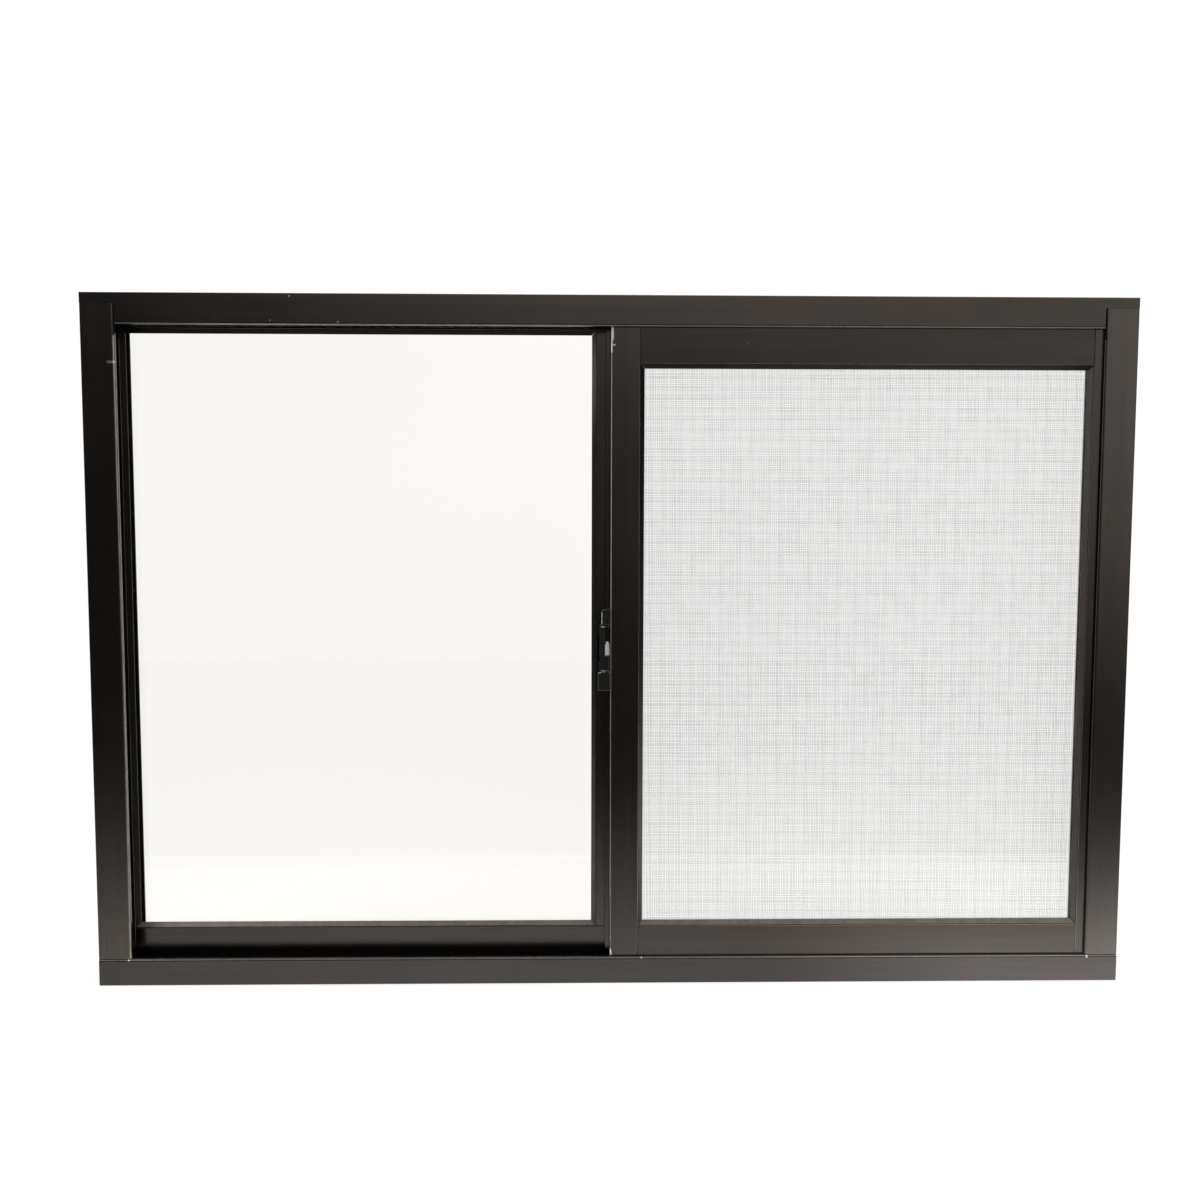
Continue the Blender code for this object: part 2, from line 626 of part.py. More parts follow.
def make_glides(inner_left, inner_right, plastic, parent):
    """Nylon blocks inside the bottom rail that straddle the track rib."""
    half = SASH_DEPTH / 2 - WALL - FIT
    slot = TRACK_RIB / 2 + FIT
    foot = SILL_RIB_TOP - GLIDE_FOOT - SASH_BOTTOM_HEIGHT
    seat = SILL_RIB_TOP + FIT - SASH_BOTTOM_HEIGHT
    top = BOTTOM_CHANNEL - FIT
    outline = [(-half, foot), (-slot, foot), (-slot, seat), (slot, seat), (slot, foot),
               (half, foot), (half, top), (-half, top)]
    inset = GLIDE_INSET + GLIDE_LENGTH / 2
    for name, place in (("left", inner_left + inset), ("right", inner_right - inset)):
        bar(f"sash_glide_{name}", [outline], GLIDE_LENGTH, "bottom",
            (place, SASH_CENTRE, SASH_BOTTOM), plastic, parent)


def make_latch(dark, silver, parent):
    """Latch case, lever with its grip, and the bright tongue, left of the meeting stile."""
    seat = SASH_LEFT - FIT
    low = BOTTOM + LATCH_BOTTOM_HEIGHT
    front = SASH_FRONT + LATCH_SETBACK
    place = (seat, front, low)
    lug_low = LATCH_HEIGHT - LATCH_LUG_HEIGHT
    foot = GRIP_HEIGHT + WALL

    case = plate("latch_body",
                 [(0, foot), (0, LATCH_HEIGHT), (-LATCH_LUG_REACH, LATCH_HEIGHT, LATCH_CORNER),
                  (-LATCH_LUG_REACH, lug_low), (-LATCH_PLATE, lug_low), (-LATCH_PLATE, foot)],
                 0, LATCH_DEPTH, place, dark, parent)
    combine(case, (-LATCH_PLATE - WALL, -WALL, LEVER_WINDOW_BOTTOM),
            (WALL, LEVER_WINDOW_DEPTH, LEVER_WINDOW_TOP))

    grip_front = GRIP_SETBACK - LATCH_SETBACK
    lever_front = LEVER_SETBACK - LATCH_SETBACK
    lever_back = LATCH_DEPTH - WALL
    inner = -LATCH_PLATE - FIT
    lever_top = lug_low - FIT
    slope_top = GRIP_HEIGHT + GRIP_SLOPE
    lever = plate("latch_lever",
                  [(inner, foot), (inner, LEVER_WINDOW_BOTTOM), (-LEVER_SPINE, LEVER_WINDOW_BOTTOM),
                   (-LEVER_SPINE, LEVER_WINDOW_TOP), (inner, LEVER_WINDOW_TOP), (inner, lever_top),
                   (-LEVER_REACH, lever_top), (-LEVER_REACH, foot)],
                  lever_front, lever_back - lever_front, place, dark, parent)
    grip = plate("latch_grip",
                 [(0, 0), (0, GRIP_HEIGHT - FIT), (inner, slope_top), (-GRIP_REACH, GRIP_HEIGHT),
                  (-GRIP_REACH, 0)],
                 grip_front, lever_back - grip_front, place, dark, parent)
    grip.hide_render = True
    grip.display_type = "WIRE"
    join = lever.modifiers.new("grip", "BOOLEAN")
    join.operation = "UNION"
    join.solver = "EXACT"
    join.object = grip

    window_left = FIT - LEVER_SPINE
    head_low = LEVER_WINDOW_BOTTOM + FIT + TONGUE_HEIGHT
    head_high = head_low + TONGUE_HEAD
    inset = TONGUE_HEAD_INSET
    plate("latch_tongue",
          [(window_left, LEVER_WINDOW_BOTTOM + FIT), (-FIT, LEVER_WINDOW_BOTTOM + FIT), (-FIT, head_low),
           (-FIT - inset, head_low), (-FIT - inset, head_high), (window_left + inset, head_high),
           (window_left + inset, head_low), (window_left, head_low)],
          LEVER_WINDOW_DEPTH - FIT - TONGUE_DEPTH, TONGUE_DEPTH, place, silver, parent)


def strand_lines(clear, count, held):
    """Edges of the strands across a clear opening, with the held border outside it."""
    pitch = (clear - MESH_STRAND) / count
    lines = [-clear / 2 - held]
    for index in range(count):
        start = -clear / 2 + MESH_STRAND + index * pitch
        lines += [start, start + pitch - MESH_STRAND]
    return lines + [clear / 2 + held]


def make_lattice(name, clear_x, clear_z, held, place, material, parent):
    """The screen's cloth as a coarse lattice of flat strands, closed all round."""
    mesh = bmesh.new()
    xs = strand_lines(clear_x, MESH_COLUMNS, held)
    zs = strand_lines(clear_z, MESH_ROWS, held)
    corners = [[mesh.verts.new((x, 0, z)) for z in zs] for x in xs]
    for i in range(len(xs) - 1):
        for j in range(len(zs) - 1):
            if i % 2 and j % 2:
                continue
            mesh.faces.new((corners[i][j], corners[i + 1][j], corners[i + 1][j + 1], corners[i][j + 1]))
    push_region(mesh, list(mesh.faces), (0, MESH_THICKNESS, 0))
    thing = finish_object(name, mesh, material, parent)
    thing.location = place


def screen_bar_outline():
    groove_far = SCREEN_BAR - SCREEN_WALL
    groove_near = groove_far - SPLINE_GROOVE
    groove_floor = SCREEN_DEPTH - SPLINE_GROOVE_DEPTH
    outer = [(0, 0), (0, SCREEN_BAR), (SCREEN_DEPTH, SCREEN_BAR), (SCREEN_DEPTH, groove_far),
             (groove_floor, groove_far), (groove_floor, groove_near), (SCREEN_DEPTH, groove_near),
             (SCREEN_DEPTH, 0)]
    chamber = [(SCREEN_WALL, SCREEN_WALL), (SCREEN_WALL, groove_far),
               (groove_floor - SCREEN_WALL, groove_far),
               (groove_floor - SCREEN_WALL, groove_near - SCREEN_WALL),
               (SCREEN_DEPTH - SCREEN_WALL, groove_near - SCREEN_WALL),
               (SCREEN_DEPTH - SCREEN_WALL, SCREEN_WALL)]
    return [outer, chamber]


def spline_outline():
    centre_u = SCREEN_DEPTH - SPLINE_GROOVE_DEPTH + SPLINE_RADIUS + FIT / 2
    centre_v = SCREEN_BAR - SCREEN_WALL - SPLINE_GROOVE / 2
    turns = [2 * math.pi * i / 8 for i in range(8)]
    return [(centre_u + SPLINE_RADIUS * math.cos(t), centre_v + SPLINE_RADIUS * math.sin(t)) for t in turns]


def make_screen(finish, mesh_finish, rubber, plastic, parent):
    width = SCREEN_RIGHT - SCREEN_LEFT
    height = SCREEN_TOP - SCREEN_BOTTOM
    middle_x = (SCREEN_RIGHT + SCREEN_LEFT) / 2
    middle_z = (SCREEN_TOP + SCREEN_BOTTOM) / 2
    cut = 2 * (SCREEN_BAR + FIT)
    places = {"bottom": (width - cut, (middle_x, SCREEN_FRONT, SCREEN_BOTTOM), "rail"),
              "top": (width - cut, (middle_x, SCREEN_FRONT, SCREEN_TOP), "rail"),
              "left": (height - cut, (SCREEN_LEFT, SCREEN_FRONT, middle_z), "stile"),
              "right": (height - cut, (SCREEN_RIGHT, SCREEN_FRONT, middle_z), "stile")}
    for side, (length, place, kind) in places.items():
        bar(f"screen_{side}_{kind}", screen_bar_outline(), length, side, place, finish, parent)
        bar(f"screen_spline_{side}", [spline_outline()], length, side, place, rubber, parent)

    leg_low = SCREEN_WALL + FIT
    leg_high = SCREEN_BAR - 2 * SCREEN_WALL - SPLINE_GROOVE - FIT
    leg_end = SCREEN_BAR + CORNER_LEG
    corners = {"bottom_left": (SCREEN_LEFT, SCREEN_BOTTOM, 0),
               "top_left": (SCREEN_LEFT, SCREEN_TOP, QUARTER),
               "top_right": (SCREEN_RIGHT, SCREEN_TOP, math.pi),
               "bottom_right": (SCREEN_RIGHT, SCREEN_BOTTOM, -QUARTER)}
    for label, (x, z, turn) in corners.items():
        key = plate(f"screen_corner_{label}",
                    [(leg_low, leg_low), (leg_end, leg_low), (leg_end, leg_high), (leg_high, leg_high),
                     (leg_high, leg_end), (leg_low, leg_end)],
                    leg_low, SCREEN_DEPTH - 2 * leg_low, (x, SCREEN_FRONT, z), plastic, parent)
        key.rotation_euler = (0, turn, 0)
        combine(key, (0, 0, 0), (SCREEN_BAR, SCREEN_DEPTH, SCREEN_BAR), "UNION")

    held = SCREEN_WALL + SPLINE_GROOVE
    make_lattice("screen_mesh", width - 2 * SCREEN_BAR, height - 2 * SCREEN_BAR, held,
                 (middle_x, SCREEN_FRONT + SCREEN_DEPTH + FIT, middle_z), mesh_finish, parent)


def make_group(name):
    group = bpy.data.objects.new(name, None)
    bpy.context.collection.objects.link(group)
    return group


def main():
    clear_scene()
    bronze = make_material("bronze_aluminium", (0.035, 0.032, 0.03), 0.35, 0.0)
    bead = make_material("bead_aluminium", (0.12, 0.105, 0.095), 0.4, 0.0)
    clear = make_material("clear_glass", (0.95, 0.96, 0.95), 0.02, 0.0, 1.0)
    grey_pile = make_material("grey_pile", (0.08, 0.08, 0.08), 0.95, 0.0)
    nylon = make_material("black_nylon", (0.03, 0.03, 0.03), 0.5, 0.0)
    silver = make_material("bare_metal", (0.75, 0.75, 0.74), 0.3, 1.0)
    rubber = make_material("black_rubber", (0.02, 0.02, 0.02), 0.8, 0.0)
    mesh_grey = make_material("screen_wire", (0.55, 0.55, 0.54), 0.5, 0.6)

    frame = make_group("frame_group")
    make_frame(bronze, frame)
    make_mullion(bronze, frame)
    fixed_opening = (LEFT + JAMB_LEG, MULLION_FACE_EDGE, BOTTOM + SILL_LEG, TOP - HEAD_LEG)
    make_glazing("fixed", fixed_opening, GLAZING_FACE, FIXED_GLASS_SETBACK, clear, bead, frame)

    sash = make_group("sash_group")
    sash.parent = frame
    make_sash(bronze, bead, clear, grey_pile, nylon, sash)
    make_latch(bronze, silver, sash)

    screen = make_group("screen_group")
    screen.parent = frame
    make_screen(bronze, mesh_grey, rubber, nylon, screen)


main()
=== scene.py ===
"""Looks of the aluminium sliding window: finishes, woven screen, screws, studio and camera."""
import math

import bmesh
import bpy
from mathutils import Matrix, Vector


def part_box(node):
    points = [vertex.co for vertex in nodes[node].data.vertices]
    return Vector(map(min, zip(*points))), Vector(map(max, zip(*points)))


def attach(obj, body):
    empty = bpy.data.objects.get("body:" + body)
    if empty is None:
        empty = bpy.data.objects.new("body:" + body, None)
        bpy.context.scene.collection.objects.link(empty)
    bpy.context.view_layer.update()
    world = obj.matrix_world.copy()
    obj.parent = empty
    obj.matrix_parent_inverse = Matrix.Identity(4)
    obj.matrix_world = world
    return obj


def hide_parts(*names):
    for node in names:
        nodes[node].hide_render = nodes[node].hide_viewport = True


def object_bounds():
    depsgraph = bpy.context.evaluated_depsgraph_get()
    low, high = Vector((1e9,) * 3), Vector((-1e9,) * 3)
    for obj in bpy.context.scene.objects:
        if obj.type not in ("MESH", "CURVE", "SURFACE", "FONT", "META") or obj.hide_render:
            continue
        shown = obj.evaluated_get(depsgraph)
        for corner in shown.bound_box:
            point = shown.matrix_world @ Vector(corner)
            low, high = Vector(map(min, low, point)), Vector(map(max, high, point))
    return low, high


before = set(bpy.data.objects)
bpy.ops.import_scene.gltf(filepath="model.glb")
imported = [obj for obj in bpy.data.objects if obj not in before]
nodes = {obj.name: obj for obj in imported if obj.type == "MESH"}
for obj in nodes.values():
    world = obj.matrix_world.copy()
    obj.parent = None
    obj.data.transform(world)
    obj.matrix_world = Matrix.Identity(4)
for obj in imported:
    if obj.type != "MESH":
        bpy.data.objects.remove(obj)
solid_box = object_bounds()

MM = 0.001

# Places of the colour sockets on a Mix node
MIX_INPUTS = (0, 6, 7)
MIX_RESULT = 2

# Camera, solved from the edges of the frame
CAMERA_PLACE = (-0.03438, -1.12014, 0.42781)
CAMERA_PITCH = math.radians(-4.775)
CAMERA_YAW = math.radians(-1.19)
CAMERA_ROLL = math.radians(-0.136)
CAMERA_LENS = 39.0
CAMERA_SENSOR = 36

# Woven screen: wires that sway a little, in groups with uneven gaps
WIRE_DIAMETER = 0.25 * MM
WIRE_SIDES = 4
WIRE_BENDS = 11
WIRE_SWAY = 0.13 * MM
SWAY_STEP = 2.1
SWAY_START = 0.3
SWAY_TURN = 2.4
WEFT_PITCH = 1.43 * MM
WEFT_GROUP = 13
WARP_PITCH = 1.59 * MM
WARP_GROUP = 17
UNEVEN_GAPS = 0.28 * MM
FIRST_DRIFT = (5.3, 1.7)
SECOND_DRIFT = 11.9
SECOND_DRIFT_SHARE = 0.6

# Screws that join the frame's corners
SCREW_DEPTHS = (16.4 * MM, 32.8 * MM)
SCREW_INSET = 15.7 * MM
JAMB_WEB_OUTSIDE = 12 * MM
# Washer and hex head: sides, radius, base, rise, and the inset of the top face and its last step
SCREW_TIERS = (
    (20, 4.2 * MM, 0, 0.7 * MM, 0.4 * MM, 0.15 * MM),
    (6, 2.9 * MM, 0.8 * MM, 2.1 * MM, 0.8 * MM, -0.5 * MM),
)

# Sealant in the hairline joints between jamb flanges and head strip
JOINT_INSET = 0.3 * MM
JOINT_GAP = 0.3 * MM
JOINT_WIDTH = 28.7 * MM
JOINT_FRONT = -1.35 * MM
JOINT_BACK = -0.1 * MM

# Softly rounded edges of the solids
BAR_EDGE = 0.15 * MM
BEAD_EDGE = 0.2 * MM
LATCH_EDGE = 0.35 * MM
TONGUE_EDGE = 0.25 * MM
PLASTIC_EDGE = 0.3 * MM
EDGE_SEGMENTS = 2
EDGE_ANGLE = math.radians(35)
WELD_DISTANCE = 0.01 * MM

# Nodes that share a finish
HORIZONTAL_BARS = ("frame_sill", "frame_head", "sash_bottom_rail", "sash_top_rail",
                   "screen_bottom_rail", "screen_top_rail")
UPRIGHT_BARS = ("frame_left_jamb", "frame_right_jamb", "fixed_mullion", "sash_meeting_stile",
                "sash_closing_stile", "screen_left_stile", "screen_right_stile")
PLAIN_BEADS = ("fixed_bead_bottom", "fixed_bead_top", "sash_bead_bottom", "sash_bead_top")
LATCH_PIECES = ("latch_body", "latch_lever")
PLASTIC_PIECES = ("sash_glide_left", "sash_glide_right", "screen_corner_bottom_left",
                  "screen_corner_top_left", "screen_corner_top_right", "screen_corner_bottom_right")
SPLINES = ("screen_spline_bottom", "screen_spline_top", "screen_spline_left", "screen_spline_right")
PILE_STRIPS = ("sash_pile_bottom", "sash_pile_top", "sash_pile_closing")

# Colours of the anodised pieces
BRONZE = (0.077, 0.0685, 0.0625)
SILL_BRONZE = (0.072, 0.066, 0.0635)
# Glazing beads: a much darker copy of the bronze as painted shade in their pockets, and for the sash's right
# bead a lighter copy as painted light
SHADED_BEAD_TONE = (0.012, 0.0108, 0.0098)
LIT_RIGHT_BEAD_TONE = (0.05, 0.044, 0.04)
LATCH_COLOUR = (0.02, 0.019, 0.018)
# The jambs get a lighter copy of the bronze as painted light, and the sash's top rail a darker copy as
# painted shade
JAMB_LIT_SHARE = 1.25
TOP_RAIL_SHADE_SHARE = 0.82
WARM_SIDE = (1.05, 1.02, 0.99)
COOL_SIDE = (0.95, 0.97, 0.985)
STREAK_LIGHTER = 1.6
STREAK_SHARE = 0.22
SPECK_COLOUR = (0.35, 0.34, 0.32)
SPECK_SHARE = 0.35
# Pale brown of the dust lying on faces that look up, which also paints the light falling on them from above,
# and of the paler ends of uprights
PALE_BROWN = (0.185, 0.155, 0.128)
# Pale colour of bare chips and scrapes, and of the latch's painted edge highlights
BARE_AND_HIGHLIGHT_COLOUR = (0.78, 0.77, 0.75)
# Near black painted shade on the bars' cut ends and on the rounded edges above the jambs' tops, where the
# joints lie in shade
CUT_END_SHADE = (0.006, 0.006, 0.006)
BRIGHTEST_EDGE = 0.5
EDGE_SHARE = 0.9

# Finish of a plain bar: the painted highlight on the rounded edges is `gleam` times as light as the bar
BAR_METALLIC = 0.96
BAR_ROUGHNESS = 0.23
# Share of dust and painted top light on the bars' faces that look up
BAR_DUST_AND_TOP_LIGHT = 0.35
BAR_GLEAM = 3.8
SILL_GLEAM = 2.0
# The left jamb's rounded edges carry a stronger painted highlight than the right jamb's
LEFT_JAMB_GLEAM = 4.6
RIGHT_JAMB_GLEAM = 0.7
TOP_RAIL_ROUGHNESS = 0.21
BEAD_FINISH = {"metallic": 0.9, "roughness": 0.3, "dust_and_top_light_share": 0.9, "gleam": 1.5}
PALE_ENDS_BEAD_FINISH = {**BEAD_FINISH, "low": 0.6, "high": 0.4}
PALE_FOOT_BEAD_FINISH = {**BEAD_FINISH, "low": 0.55}
LIT_RIGHT_BEAD_FINISH = {**BEAD_FINISH, "metallic": 0.85, "roughness": 0.35, "low": 0.15}
# The latch's large gleam paints highlights on its rounded edges
LATCH_FINISH = {"metallic": 0.4, "roughness": 0.3, "dust_and_top_light_share": 0.0, "gleam": 12.0}
SATIN_VARIATION = (-0.015, 0.02)
SPECK_ROUGHNESS = 0.3
LINE_BUMP = 0.12
LINE_DEPTH = 0.1 * MM

# Stretch of the die lines, along a bar's length
ALONG_X = (0.012, 1.0, 1.0)
ALONG_Z = (1.0, 1.0, 0.012)
NO_DIRECTION = (1.0, 1.0, 1.0)

# Noise patterns: scale per metre, detail, roughness
FINE_LINES = (900, 3.0, 0.65)
BROAD_LINES = (120, 2.0, 0.5)
MOTTLE = (9, 4.0, 0.55)
SPECKS = (1300, 2.0, 0.5)
SPECK_PATCHES = (18, 3.0, 0.6)
CHIPS = (420, 2.0, 0.55)
CHIP_PATCHES = (31, 2.0, 0.5)
SCRAPE_BORDER = (700, 3.0, 0.6)
DUST_AND_TOP_LIGHT_NOISE = (140, 4.0, 0.6)
EDGE_HIGHLIGHT_BREAKS = (75, 4.0, 0.6)
PALE_ENDS_NOISE = (90, 4.0, 0.6)
GLASS_SMEARS = (9, 5.0, 0.65)
GLASS_SHADES = (3, 2.0, 0.5)
TARNISH = (60, 4.0, 0.6)
BRUSHING = (2600, 3.0, 0.6)
FINE_SHARE = 0.6
BROAD_SHARE = 0.4

# Limits between which a mask goes from none to full
SPECK_LIMITS = (0.69, 0.76)
SPECK_PATCH_LIMITS = (0.42, 0.7)
CHIP_LIMITS = (0.765, 0.78)
CHIP_PATCH_LIMITS = (0.6, 0.66)
SCRAPE_LIMITS = (1.35, 1.5)
MOTTLE_LIMITS = (0.35, 0.65)
STREAK_LIMITS = (0.4, 0.62)
SATIN_LIMITS = (0.3, 0.7)
NOISE_BREAK_LIMITS = (0.3, 0.65)
TARNISH_LIMITS = (0.35, 0.7)
SMEAR_LIMITS = (0.45, 0.75)
UPWARD_LIMITS = (0.3, 0.65)
CUT_END_LIMITS = (0.12, 0.4)
ROUNDED_LIMITS = (0.95, 0.995)
FRONT_DEPTHS = (6 * MM, 9 * MM)
PALE_FOOT_HEIGHTS = (30 * MM, 300 * MM)
PALE_TOP_HEIGHTS = (460 * MM, 540 * MM)
WHOLE_RANGE = (0.0, 1.0)

# The two ends of a mask
RISING = (0.0, 1.0)
FALLING = (1.0, 0.0)

# How much of a mask is left where its noise is lowest, and where it is highest
DUST_AND_TOP_LIGHT_RANGE = (0.72, 1.0)
EDGE_HIGHLIGHT_RANGE = (0.65, 1.0)
PALE_ENDS_RANGE = (0.75, 1.0)
BORDER_SHARE = 0.9

# Painted highlights on the rounded edges stay below the jambs' tops, above which the rounded edges get
# painted shade, and on the sill between the jambs
JAMB_EDGE_TOP = 558 * MM
JAMB_EDGE_SIDE = 421.5 * MM
NO_LIMIT = 10.0

# Panes
FIXED_PANE_TINT = (0.948, 0.9365, 0.915)
SASH_PANE_TINT = (0.972, 0.972, 0.966)
PANE_DARKER = 0.985
PANE_SMEAR = 0.012
GLASS_IOR = 1.5

# Wires of the screen, paler near the bottom
WIRE_COLOUR = (0.58, 0.59, 0.62)
TARNISHED_COLOUR = (0.4, 0.41, 0.435)
PALE_WIRE_COLOUR = (0.82, 0.82, 0.815)
PALE_WIRE_HEIGHTS = (50 * MM, 260 * MM)
PALE_WIRE_RANGE = (0.75, 0.0)
WIRE_ROUGHNESS = (0.38, 0.6)
WIRE_METALLIC = 0.3

# Bright metal of the screws and of the latch's tongue
BRIGHT_COLOUR = (0.8, 0.8, 0.79)
DULL_COLOUR = (0.62, 0.62, 0.61)
BRIGHT_ROUGHNESS = (0.22, 0.4)
BRUSH_STRETCH = (1.0, 1.0, 0.08)
TONGUE_METALLIC = 0.15

# Moulded pieces: colour, roughness, texture per metre and its depth
NYLON = ((0.022, 0.022, 0.022), 0.5, 900, 0.05 * MM)
SPLINE_RUBBER = ((0.018, 0.018, 0.018), 0.75, 1500, 0.05 * MM)
PILE = ((0.06, 0.06, 0.058), 0.9, 3500, 0.4 * MM)
SEALANT = ((0.012, 0.012, 0.012), 0.6, 1200, 0.03 * MM)
MOULDED_DETAIL = (4.0, 0.65)
MOULDED_LIGHTER = 1.5
MOULDED_VARIATION = 0.06
MOULDED_BUMP = 0.4

# Studio papers, walls and air
FLOOR_COLOUR = (0.55, 0.55, 0.545)
FAR_FLOOR_COLOUR = (0.04, 0.04, 0.04)
BACKDROP_COLOUR = (0.1, 0.1, 0.1)
WALL_COLOUR = (0.02, 0.02, 0.02)
PAPER_LIGHT = (1.0, 0.995, 0.985)
WALL_LIGHT = (1.0, 0.98, 0.955)
AIR_LIGHT = (1.0, 0.99, 0.975)
PAPER_ROUGHNESS = 0.9
WALL_ROUGHNESS = 1.0

# Stage, in metres: floor and backdrop behind the window, room walls around the camera
FLOOR_BELOW = 0.5 * MM
STAGE_SIDE = 4
STAGE_BACK = 2.2
STAGE_TOP = 4
ROOM_SIDE = 3.6
ROOM_END = -2.4
ROOM_BOTTOM = -1.2
ROOM_TOP = 2.6
FLOOR_EDGE = -0.95

# What is seen of the stage and what metal mirrors, in shares of full white, and the metres it runs over
FLOOR_STEP = (0.36, 0.42)
FLOOR_FADE = (-0.95, -0.1)
FLOOR_SHOWN = (0.74, 1.0)
FLOOR_NEAR_GLOW = (0.02, 1.0)
FLOOR_GLOW_FALL = 5.5
FLOOR_LEFT_GLOW = (0.45, 0.68)
FLOOR_RIGHT_GLOW = (0.0, 0.95)
FLOOR_LEFT_RANGE = (-0.7, 0.0)
FLOOR_RIGHT_RANGE = (0.13, 0.36)
BACKDROP_GLOW = 0.8
WALL_GLOW = 0.02
WALL_RIGHT_GLOW = 0.8
WALL_TOP_GLOW = 1.1
WALL_SIDE_RANGE = (-1.5, 1.8)
WALL_RISE_RANGE = (-0.35, 0.75)
WALL_DROP_RANGE = (0.85, 1.1)
WALL_DROP = (1.0, 0.55)
WALL_TOP_RANGE = (0.75, 1.25)
WALL_MIDDLE_LEFT = (-1.5, -0.2)
WALL_MIDDLE_RIGHT = (0.3, 1.3)
WALL_MIDDLE_DROP = (1.0, 0.2)
SIDE_WALL_GLOW = {"left": 1.2, "right": 0.02}
SIDE_WALL_TOP_GLOW = 0.7
SIDE_WALL_RANGE = (1.0, 2.0)
AIR_STRENGTH = 0.45
AIR_SHOWN = 0.6
AIR_MIRRORED = 0.25

# Lamps: name, place, aim, size, power
LAMPS = (
    ("key_light", (1.5, -1.7, 2.1), (0.2, 0, 0.2), 1.8, 20),
    ("fill_light", (-1.6, -1.2, 2.0), (-0.1, 0, 0.3), 1.4, 12),
    ("back_light", (0.4, 1.4, 2.0), (0, 0, 0.3), 1.2, 14),
)

# Places and half sizes of the bare marks and of the latch's painted edge highlights, from the photograph
HEAD_AND_SILL_MARKS = (
    ((-0.2740, -0.0016, 0.5913), (0.0007, 0.002, 0.0007)),
    ((-0.2331, -0.0016, 0.5700), (0.0009, 0.002, 0.0006)),
    ((-0.2903, -0.0016, 0.5712), (0.0006, 0.002, 0.0005)),
    ((-0.4238, -0.0010, 0.0165), (0.0011, 0.002, 0.0010)),
    ((0.0262, -0.0010, 0.0168), (0.0008, 0.002, 0.0007)),
    ((0.4233, -0.0010, 0.0160), (0.0010, 0.002, 0.0010)),
)
UPRIGHT_MARKS = (
    ((-0.0009, 0.0030, 0.5620), (0.0013, 0.0015, 0.0080)),
    ((0.0006, 0.0026, 0.5525), (0.0013, 0.0015, 0.0008)),
    ((-0.0014, 0.0030, 0.5510), (0.0008, 0.0015, 0.0050)),
    ((-0.0022, 0.0034, 0.0335), (0.0009, 0.0015, 0.0022)),
    ((-0.0013, 0.0030, 0.0185), (0.0011, 0.0015, 0.0060)),
    ((-0.4249, -0.0010, 0.5358), (0.0038, 0.0030, 0.0013)),
)
# Painted highlights along the edges of the latch's upper and lower lugs
LATCH_HIGHLIGHT_MARKS = (
    ((-0.0098, 0.0030, 0.3205), (0.0009, 0.0030, 0.0032)),
    ((-0.0098, 0.0030, 0.3150), (0.0009, 0.0030, 0.0024)),
    ((-0.0085, 0.0030, 0.3105), (0.0022, 0.0030, 0.0006)),
    ((-0.0112, 0.0030, 0.2706), (0.0017, 0.0030, 0.0007)),
    ((-0.0084, 0.0030, 0.2716), (0.0024, 0.0030, 0.0008)),
)


def shade(colour, factor):
    return tuple(channel * factor for channel in colour)


def new_node(tree, kind, **settings):
    node = tree.nodes.new(kind)
    for key, value in settings.items():
        setattr(node, key, value)
    return node


def set_inputs(node, values):
    for name, value in values.items():
        node.inputs[name].default_value = value


def math_node(tree, operation, first, second=None, clamp=False):
    """A Math node; first and second are sockets or numbers."""
    node = new_node(tree, "ShaderNodeMath", operation=operation, use_clamp=clamp)
    for index, value in enumerate((first, second)):
        if value is None:
            continue
        if isinstance(value, (int, float)):
            node.inputs[index].default_value = value
        else:
            tree.links.new(value, node.inputs[index])
    return node.outputs[0]


def product(tree, first, second):
    return math_node(tree, "MULTIPLY", first, second)


def total(tree, first, second):
    return math_node(tree, "ADD", first, second)


def largest(tree, first, second):
    return math_node(tree, "MAXIMUM", first, second)


def vector_math(tree, operation, first, second=None):
    """A Vector Math node between sockets; a length or a dot product comes out as a value."""
    node = new_node(tree, "ShaderNodeVectorMath", operation=operation)
    tree.links.new(first, node.inputs[0])
    if second is not None:
        tree.links.new(second, node.inputs[1])
    return node.outputs["Value" if operation in ("LENGTH", "DOT_PRODUCT") else "Vector"]


def object_place(tree):
    return new_node(tree, "ShaderNodeTexCoord").outputs["Object"]


def split(tree, vector):
    axes = new_node(tree, "ShaderNodeSeparateXYZ")
    tree.links.new(vector, axes.inputs["Vector"])
    return axes.outputs["X"], axes.outputs["Y"], axes.outputs["Z"]


def stretched_place(tree, scale):
    mapping = new_node(tree, "ShaderNodeMapping")
    mapping.inputs["Scale"].default_value = scale
    tree.links.new(object_place(tree), mapping.inputs["Vector"])
    return mapping.outputs["Vector"]


def noise(tree, vector, pattern):
    """Noise by a pattern of scale, detail and roughness."""
    node = new_node(tree, "ShaderNodeTexNoise")
    set_inputs(node, dict(zip(("Scale", "Detail", "Roughness"), pattern)))
    tree.links.new(vector, node.inputs["Vector"])
    return node.outputs["Fac"]


def spread(tree, value, limits, ends=RISING):
    """The value between its limits, taken smoothly to the two ends."""
    node = new_node(tree, "ShaderNodeMapRange", interpolation_type="SMOOTHSTEP")
    set_inputs(node, dict(zip(("From Min", "From Max", "To Min", "To Max"), (*limits, *ends))))
    tree.links.new(value, node.inputs["Value"])
    return node.outputs["Result"]


def mix_colour(tree, factor, first, second):
    """Mix of two colours, each a socket or a plain colour, by a mask."""
    node = new_node(tree, "ShaderNodeMix", data_type="RGBA", blend_type="MIX")
    for index, value in zip(MIX_INPUTS, (factor, first, second)):
        if isinstance(value, tuple):
            node.inputs[index].default_value = (*value, 1.0)
        else:
            tree.links.new(value, node.inputs[index])
    return node.outputs[MIX_RESULT]


